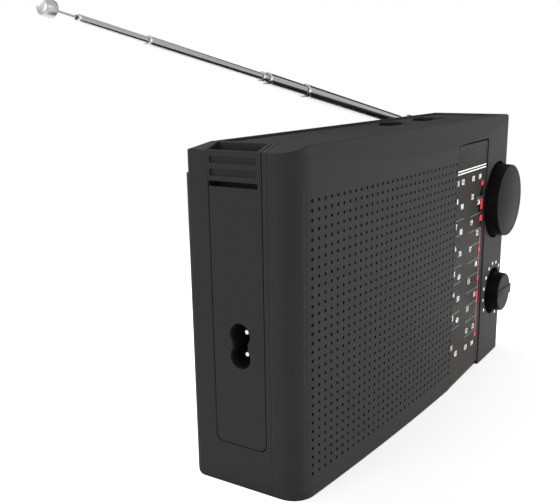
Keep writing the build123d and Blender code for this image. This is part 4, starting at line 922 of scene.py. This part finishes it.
# ---- knobs ----------------------------------------------------------------------------------------
class RADIO_OT_knobs(bpy.types.Operator):
    """Builds the tuning knob and the volume knob with its grip"""

    bl_idname = "radio.knobs"
    bl_label = "Knobs"

    def execute(self, context):
        knobs = settings().knobs
        self.tuning(knobs)
        self.volume(knobs)
        return {"FINISHED"}

    def tuning(self, knobs):
        low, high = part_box("tuning_knob")
        front = low.y - knobs.tuning_reach
        length = high.y - front
        wide = (high.x - low.x) / 2 + knobs.growth
        rim = wide - knobs.taper
        soft = knobs.edge
        flange = length - knobs.flange
        profile = [(0.0, 0.0), (0.0, rim - 4 * soft), (0.12 * MM, rim - 3.4 * soft)]
        profile += arc_profile(soft, rim - soft, soft)
        profile += [
            (flange, wide - 0.1 * MM), (flange + 0.25 * MM, wide + 0.3 * MM),
            (length - 0.3 * MM, wide + 0.3 * MM), (length, wide), (length, wide - 2.0 * MM),
            (2.4 * MM, wide - 2.4 * MM), (2.4 * MM, 5.2 * MM), (length, 5.0 * MM), (length, 0.0)]
        middle = centre_of("tuning_knob")
        mesh = turned_mesh("Tuning knob", (middle.x, front, middle.z), (0, 1, 0), profile, 128)
        knob = mesh_object("Tuning_knob", mesh, "tuning", "Knob moulding")
        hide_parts("tuning_knob")

    def volume(self, knobs):
        low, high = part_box("volume_knob")
        front = low.y + CAD_GRIP_HEIGHT + knobs.volume_sink
        length = high.y - front
        wide = (high.x - low.x) / 2
        rim = wide - knobs.taper
        soft = knobs.edge
        profile = [(0.0, 0.0), (0.0, rim - 2 * soft)]
        profile += arc_profile(soft, rim - soft, soft)
        profile += [
            (length - 0.3 * MM, wide), (length, wide - 0.3 * MM), (length, wide - 1.6 * MM),
            (2.6 * MM, wide - 2.0 * MM), (2.6 * MM, 5.0 * MM), (length, 5.0 * MM), (length, 0.0)]
        middle = centre_of("volume_knob")
        mesh = turned_mesh("Volume knob", (middle.x, front, middle.z), (0, 1, 0), profile, 96)
        knob = mesh_object("Volume_knob", mesh, "volume", "Knob moulding")
        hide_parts("volume_knob")

        reach = wide + knobs.grip_proud
        half = knobs.grip_width / 2
        outline = [(-reach, -half), (reach, -half), (reach, half), (-reach, half)]
        build = bmesh.new()
        add_prism(build, outline, -knobs.grip_height, knobs.grip_depth)
        bevelled = [edge for edge in build.edges
                    if max(vertex.co.z for vertex in edge.verts) < 0 or
                    all(abs(abs(vertex.co.y) - half) < 1e-6 for vertex in edge.verts)]
        bmesh.ops.bevel(build, geom=bevelled, offset=0.35 * MM, segments=3, profile=0.6,
                        affect="EDGES", clamp_overlap=True)
        lying = Matrix(((1, 0, 0, 0), (0, 0, 1, 0), (0, 1, 0, 0), (0, 0, 0, 1)))
        build.transform(Matrix.Translation((middle.x, front, middle.z)) @ lying)
        mesh_object("Volume_grip", finish_mesh(build, "Volume grip"), "volume",
                    "Knob moulding")


# ---- antenna ----------------------------------------------------------------------------------------
def joint(name):
    return next(item for item in frame["joints"] if item["name"] == name)


def antenna_line():
    """Pivot of the antenna and the direction along it."""
    pivot = Vector(joint("antenna_lean")["pos_m"])
    along = Vector(joint("antenna_slide_2")["axis"]).normalized()
    return pivot, along


def along_antenna(node):
    """Distances of a node's ends from the pivot, and its radius at the far end."""
    pivot, along = antenna_line()
    places = [vertex.co - pivot for vertex in frame["nodes"][node].data.vertices]
    spans = [place.dot(along) for place in places]
    end = max(spans)
    radius = max((place - along * span).length for place, span in zip(places, spans)
                 if span > end - MM)
    return min(spans), end, radius


class RADIO_OT_antenna(bpy.types.Operator):
    """Adds the rolled collars of the antenna's sections, its thin rod and its button"""

    bl_idname = "radio.antenna"
    bl_label = "Antenna"

    def execute(self, context):
        pivot, along = antenna_line()
        for number, node in enumerate(ANTENNA_TUBES, 1):
            _, end, radius = along_antenna(node)
            proud = settings().knobs.collar
            length = 0.7 * MM + radius / 3
            inner = radius - 0.4 * MM
            profile = [
                (-length, inner), (-length, radius + proud * 0.4), (-length + 0.3 * MM, radius + proud),
                (-0.35 * MM, radius + proud), (-0.1 * MM, radius), (0.12 * MM, radius - 0.2 * MM),
                (0.12 * MM, inner), (-length, inner)]
            mesh = turned_mesh(f"Antenna collar {number}", pivot + along * end, along, profile, 48)
            mesh_object(f"Antenna_collar_{number}", mesh, f"antenna_{number}",
                        "Bright plating")
        start, end, _ = along_antenna("antenna_tip_rod")
        thin = settings().knobs.rod
        profile = [(0.0, 0.0), (0.0, thin * 0.8), (thin * 0.2, thin), (end - start, thin),
                   (end - start, 0.0)]
        mesh = turned_mesh("Antenna rod", pivot + along * start, along, profile, 32)
        rod = mesh_object("Antenna_rod", mesh, "antenna_6", "Antenna plating")
        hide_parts("antenna_tip_rod")

        start, end, radius = along_antenna("antenna_tip")
        growth = settings().knobs.button_growth
        radius += growth
        end += growth / 2
        length = end - start
        soft = 0.7 * MM
        profile = [(0.0, 0.0), (0.0, 1.1 * MM), (0.3 * MM, radius - 0.5 * MM)]
        profile += [(0.7 * MM, radius - 0.1 * MM), (1.0 * MM, radius), (length - soft, radius)]
        profile += [(length - 2 * soft / 3, radius - 0.06 * MM), (length - soft / 3, radius - 0.25 * MM),
                    (length, radius - soft), (length, 0.0)]
        mesh = turned_mesh("Antenna button", pivot + along * start, along, profile, 64)
        button = mesh_object("Antenna_button", mesh, "antenna_6", "Satin plating")
        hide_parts("antenna_tip")
        return {"FINISHED"}


# ---- stage ------------------------------------------------------------------------------------------
def aim(obj, target):
    direction = Vector(target) - obj.location
    obj.rotation_euler = direction.to_track_quat("-Z", "Y").to_euler()


def add_lamp(name, place, target, power, width, height):
    lamp = bpy.data.lights.new(name, "AREA")
    lamp.shape = "RECTANGLE"
    lamp.size = width
    lamp.size_y = height
    lamp.energy = power
    obj = linked_object(name, lamp)
    obj.location = place
    aim(obj, target)
    return obj


def flat_sheet(name, half, tall):
    """Rectangle around the origin that reaches half to each side and tall up and down."""
    mesh = bpy.data.meshes.new(name)
    mesh.from_pydata([(-half, -tall, 0), (half, -tall, 0), (half, tall, 0), (-half, tall, 0)],
                     [], [(0, 1, 2, 3)])
    return mesh


def add_card(name, place, target, width, height):
    """Dark card that only mirrors show, so that plated parts get their dark streaks."""
    card = linked_object(name.replace(" ", "_"), flat_sheet(name, width / 2, height / 2))
    material, _, shader = new_material(name)
    shader.inputs["Base Color"].default_value = (0.02, 0.02, 0.02, 1)
    shader.inputs["Specular IOR Level"].default_value = 0.0
    give(card, material)
    card.location = place
    aim(card, target)
    card.visible_camera = False
    card.visible_diffuse = False
    card.visible_shadow = False
    card.visible_transmission = False


def seen_directly(tree):
    """One for camera, mirror and glass rays, and nought for light that falls on other things."""
    path = tree.nodes.new("ShaderNodeLightPath")
    total = path.outputs["Is Camera Ray"]
    for name in ("Is Glossy Ray", "Is Transmission Ray"):
        total = math_node(tree, "MAXIMUM", total, path.outputs[name])
    return total


def floor_material(near, far, lift):
    """Pale floor that keeps the shadow near the object and turns plain white further out."""
    material, tree, shader = new_material("Pale floor")
    shader.inputs["Base Color"].default_value = (0.82, 0.82, 0.82, 1)
    shader.inputs["Roughness"].default_value = 0.9
    shader.inputs["Specular IOR Level"].default_value = 0.0
    place = tree.nodes.new("ShaderNodeNewGeometry").outputs["Position"]
    distance = tree.nodes.new("ShaderNodeVectorMath")
    distance.operation = "LENGTH"
    tree.links.new(place, distance.inputs[0])
    fade = tree.nodes.new("ShaderNodeMapRange")
    fade.interpolation_type = "SMOOTHSTEP"
    tree.links.new(distance.outputs["Value"], fade.inputs["Value"])
    fade.inputs["From Min"].default_value = near
    fade.inputs["From Max"].default_value = far
    seen = seen_directly(tree)
    white = math_node(tree, "MULTIPLY", fade.outputs["Result"], seen)
    glow = tree.nodes.new("ShaderNodeEmission")
    tree.links.new(math_node(tree, "MULTIPLY", seen, lift), glow.inputs["Strength"])
    add = tree.nodes.new("ShaderNodeAddShader")
    tree.links.new(shader.outputs[0], add.inputs[0])
    tree.links.new(glow.outputs[0], add.inputs[1])
    plain = tree.nodes.new("ShaderNodeEmission")
    mix = tree.nodes.new("ShaderNodeMixShader")
    tree.links.new(white, mix.inputs[0])
    tree.links.new(add.outputs[0], mix.inputs[1])
    tree.links.new(plain.outputs[0], mix.inputs[2])
    tree.links.new(mix.outputs[0], tree.nodes["Material Output"].inputs["Surface"])
    return material


def build_world(strength):
    world = bpy.data.worlds.new("Studio")
    bpy.context.scene.world = world
    world.use_nodes = True
    tree = world.node_tree
    tree.nodes.clear()
    strengths = mapped(tree, seen_directly(tree), strength, 1.0)
    background = tree.nodes.new("ShaderNodeBackground")
    background.inputs["Color"].default_value = (1, 1, 1, 1)
    tree.links.new(strengths, background.inputs["Strength"])
    output = tree.nodes.new("ShaderNodeOutputWorld")
    tree.links.new(background.outputs[0], output.inputs["Surface"])


class RADIO_OT_stage(bpy.types.Operator):
    """Builds the floor, the lamps, the world and the camera"""

    bl_idname = "radio.stage"
    bl_label = "Stage"

    def execute(self, context):
        stage = settings().stage
        floor = linked_object("Floor", flat_sheet("Floor", FLOOR_REACH, FLOOR_REACH))
        far = FADE_SHARE * stage.shadow_reach
        give(floor, floor_material(stage.shadow_reach, far, stage.floor_lift))

        build_world(stage.world_strength)
        for name, power, place, target, width, height in LAMPS:
            lamp = add_lamp(name, place, target, getattr(stage, power), width, height)
            lamp.visible_glossy = name not in UNMIRRORED_LAMPS
        add_card("Dark card", CARD_PLACE, MIDDLE, *CARD_SIZE)

        camera = bpy.data.cameras.new("Camera")
        camera.lens = stage.lens
        camera.sensor_width = 36.0
        camera.shift_x, camera.shift_y = stage.shift
        camera.clip_start = 0.01
        obj = linked_object("Camera", camera)
        right = Vector(stage.camera_right).normalized()
        up = Vector(stage.camera_up).normalized()
        back = right.cross(up).normalized()
        up = back.cross(right)
        turn = Matrix((right, up, back)).transposed()
        obj.matrix_world = Matrix.Translation(stage.camera_place) @ turn.to_4x4()
        context.scene.camera = obj
        context.scene.view_settings.view_transform = "Standard"
        return {"FINISHED"}


# ---- panel and registration ------------------------------------------------------------------------
OPERATORS = (
    RADIO_OT_finishes,
    RADIO_OT_grille,
    RADIO_OT_strip,
    RADIO_OT_rim,
    RADIO_OT_dial,
    RADIO_OT_dots,
    RADIO_OT_knobs,
    RADIO_OT_antenna,
    RADIO_OT_stage,
)


class RADIO_PT_looks(bpy.types.Panel):
    """Lists the steps that build the radio's looks"""

    bl_label = "Radio looks"
    bl_idname = "RADIO_PT_looks"
    bl_space_type = "VIEW_3D"
    bl_region_type = "UI"
    bl_category = "Radio"

    def draw(self, context):
        for step in OPERATORS:
            self.layout.operator(step.bl_idname)


CLASSES = (RadioColours, GrilleSizes, DialSizes, KnobSizes, StageSettings, RadioLooks, *OPERATORS,
           RADIO_PT_looks)


def register():
    for item in CLASSES:
        bpy.utils.register_class(item)
    bpy.types.Scene.radio_looks = PointerProperty(type=RadioLooks)


def unregister():
    del bpy.types.Scene.radio_looks
    for item in reversed(CLASSES):
        bpy.utils.unregister_class(item)


def run(step):
    """Calls one operator by its name."""
    group, name = step.bl_idname.split(".")
    getattr(getattr(bpy.ops, group), name)()


def main():
    register()
    for step in OPERATORS:
        run(step)


if __name__ == "__main__":
    main()
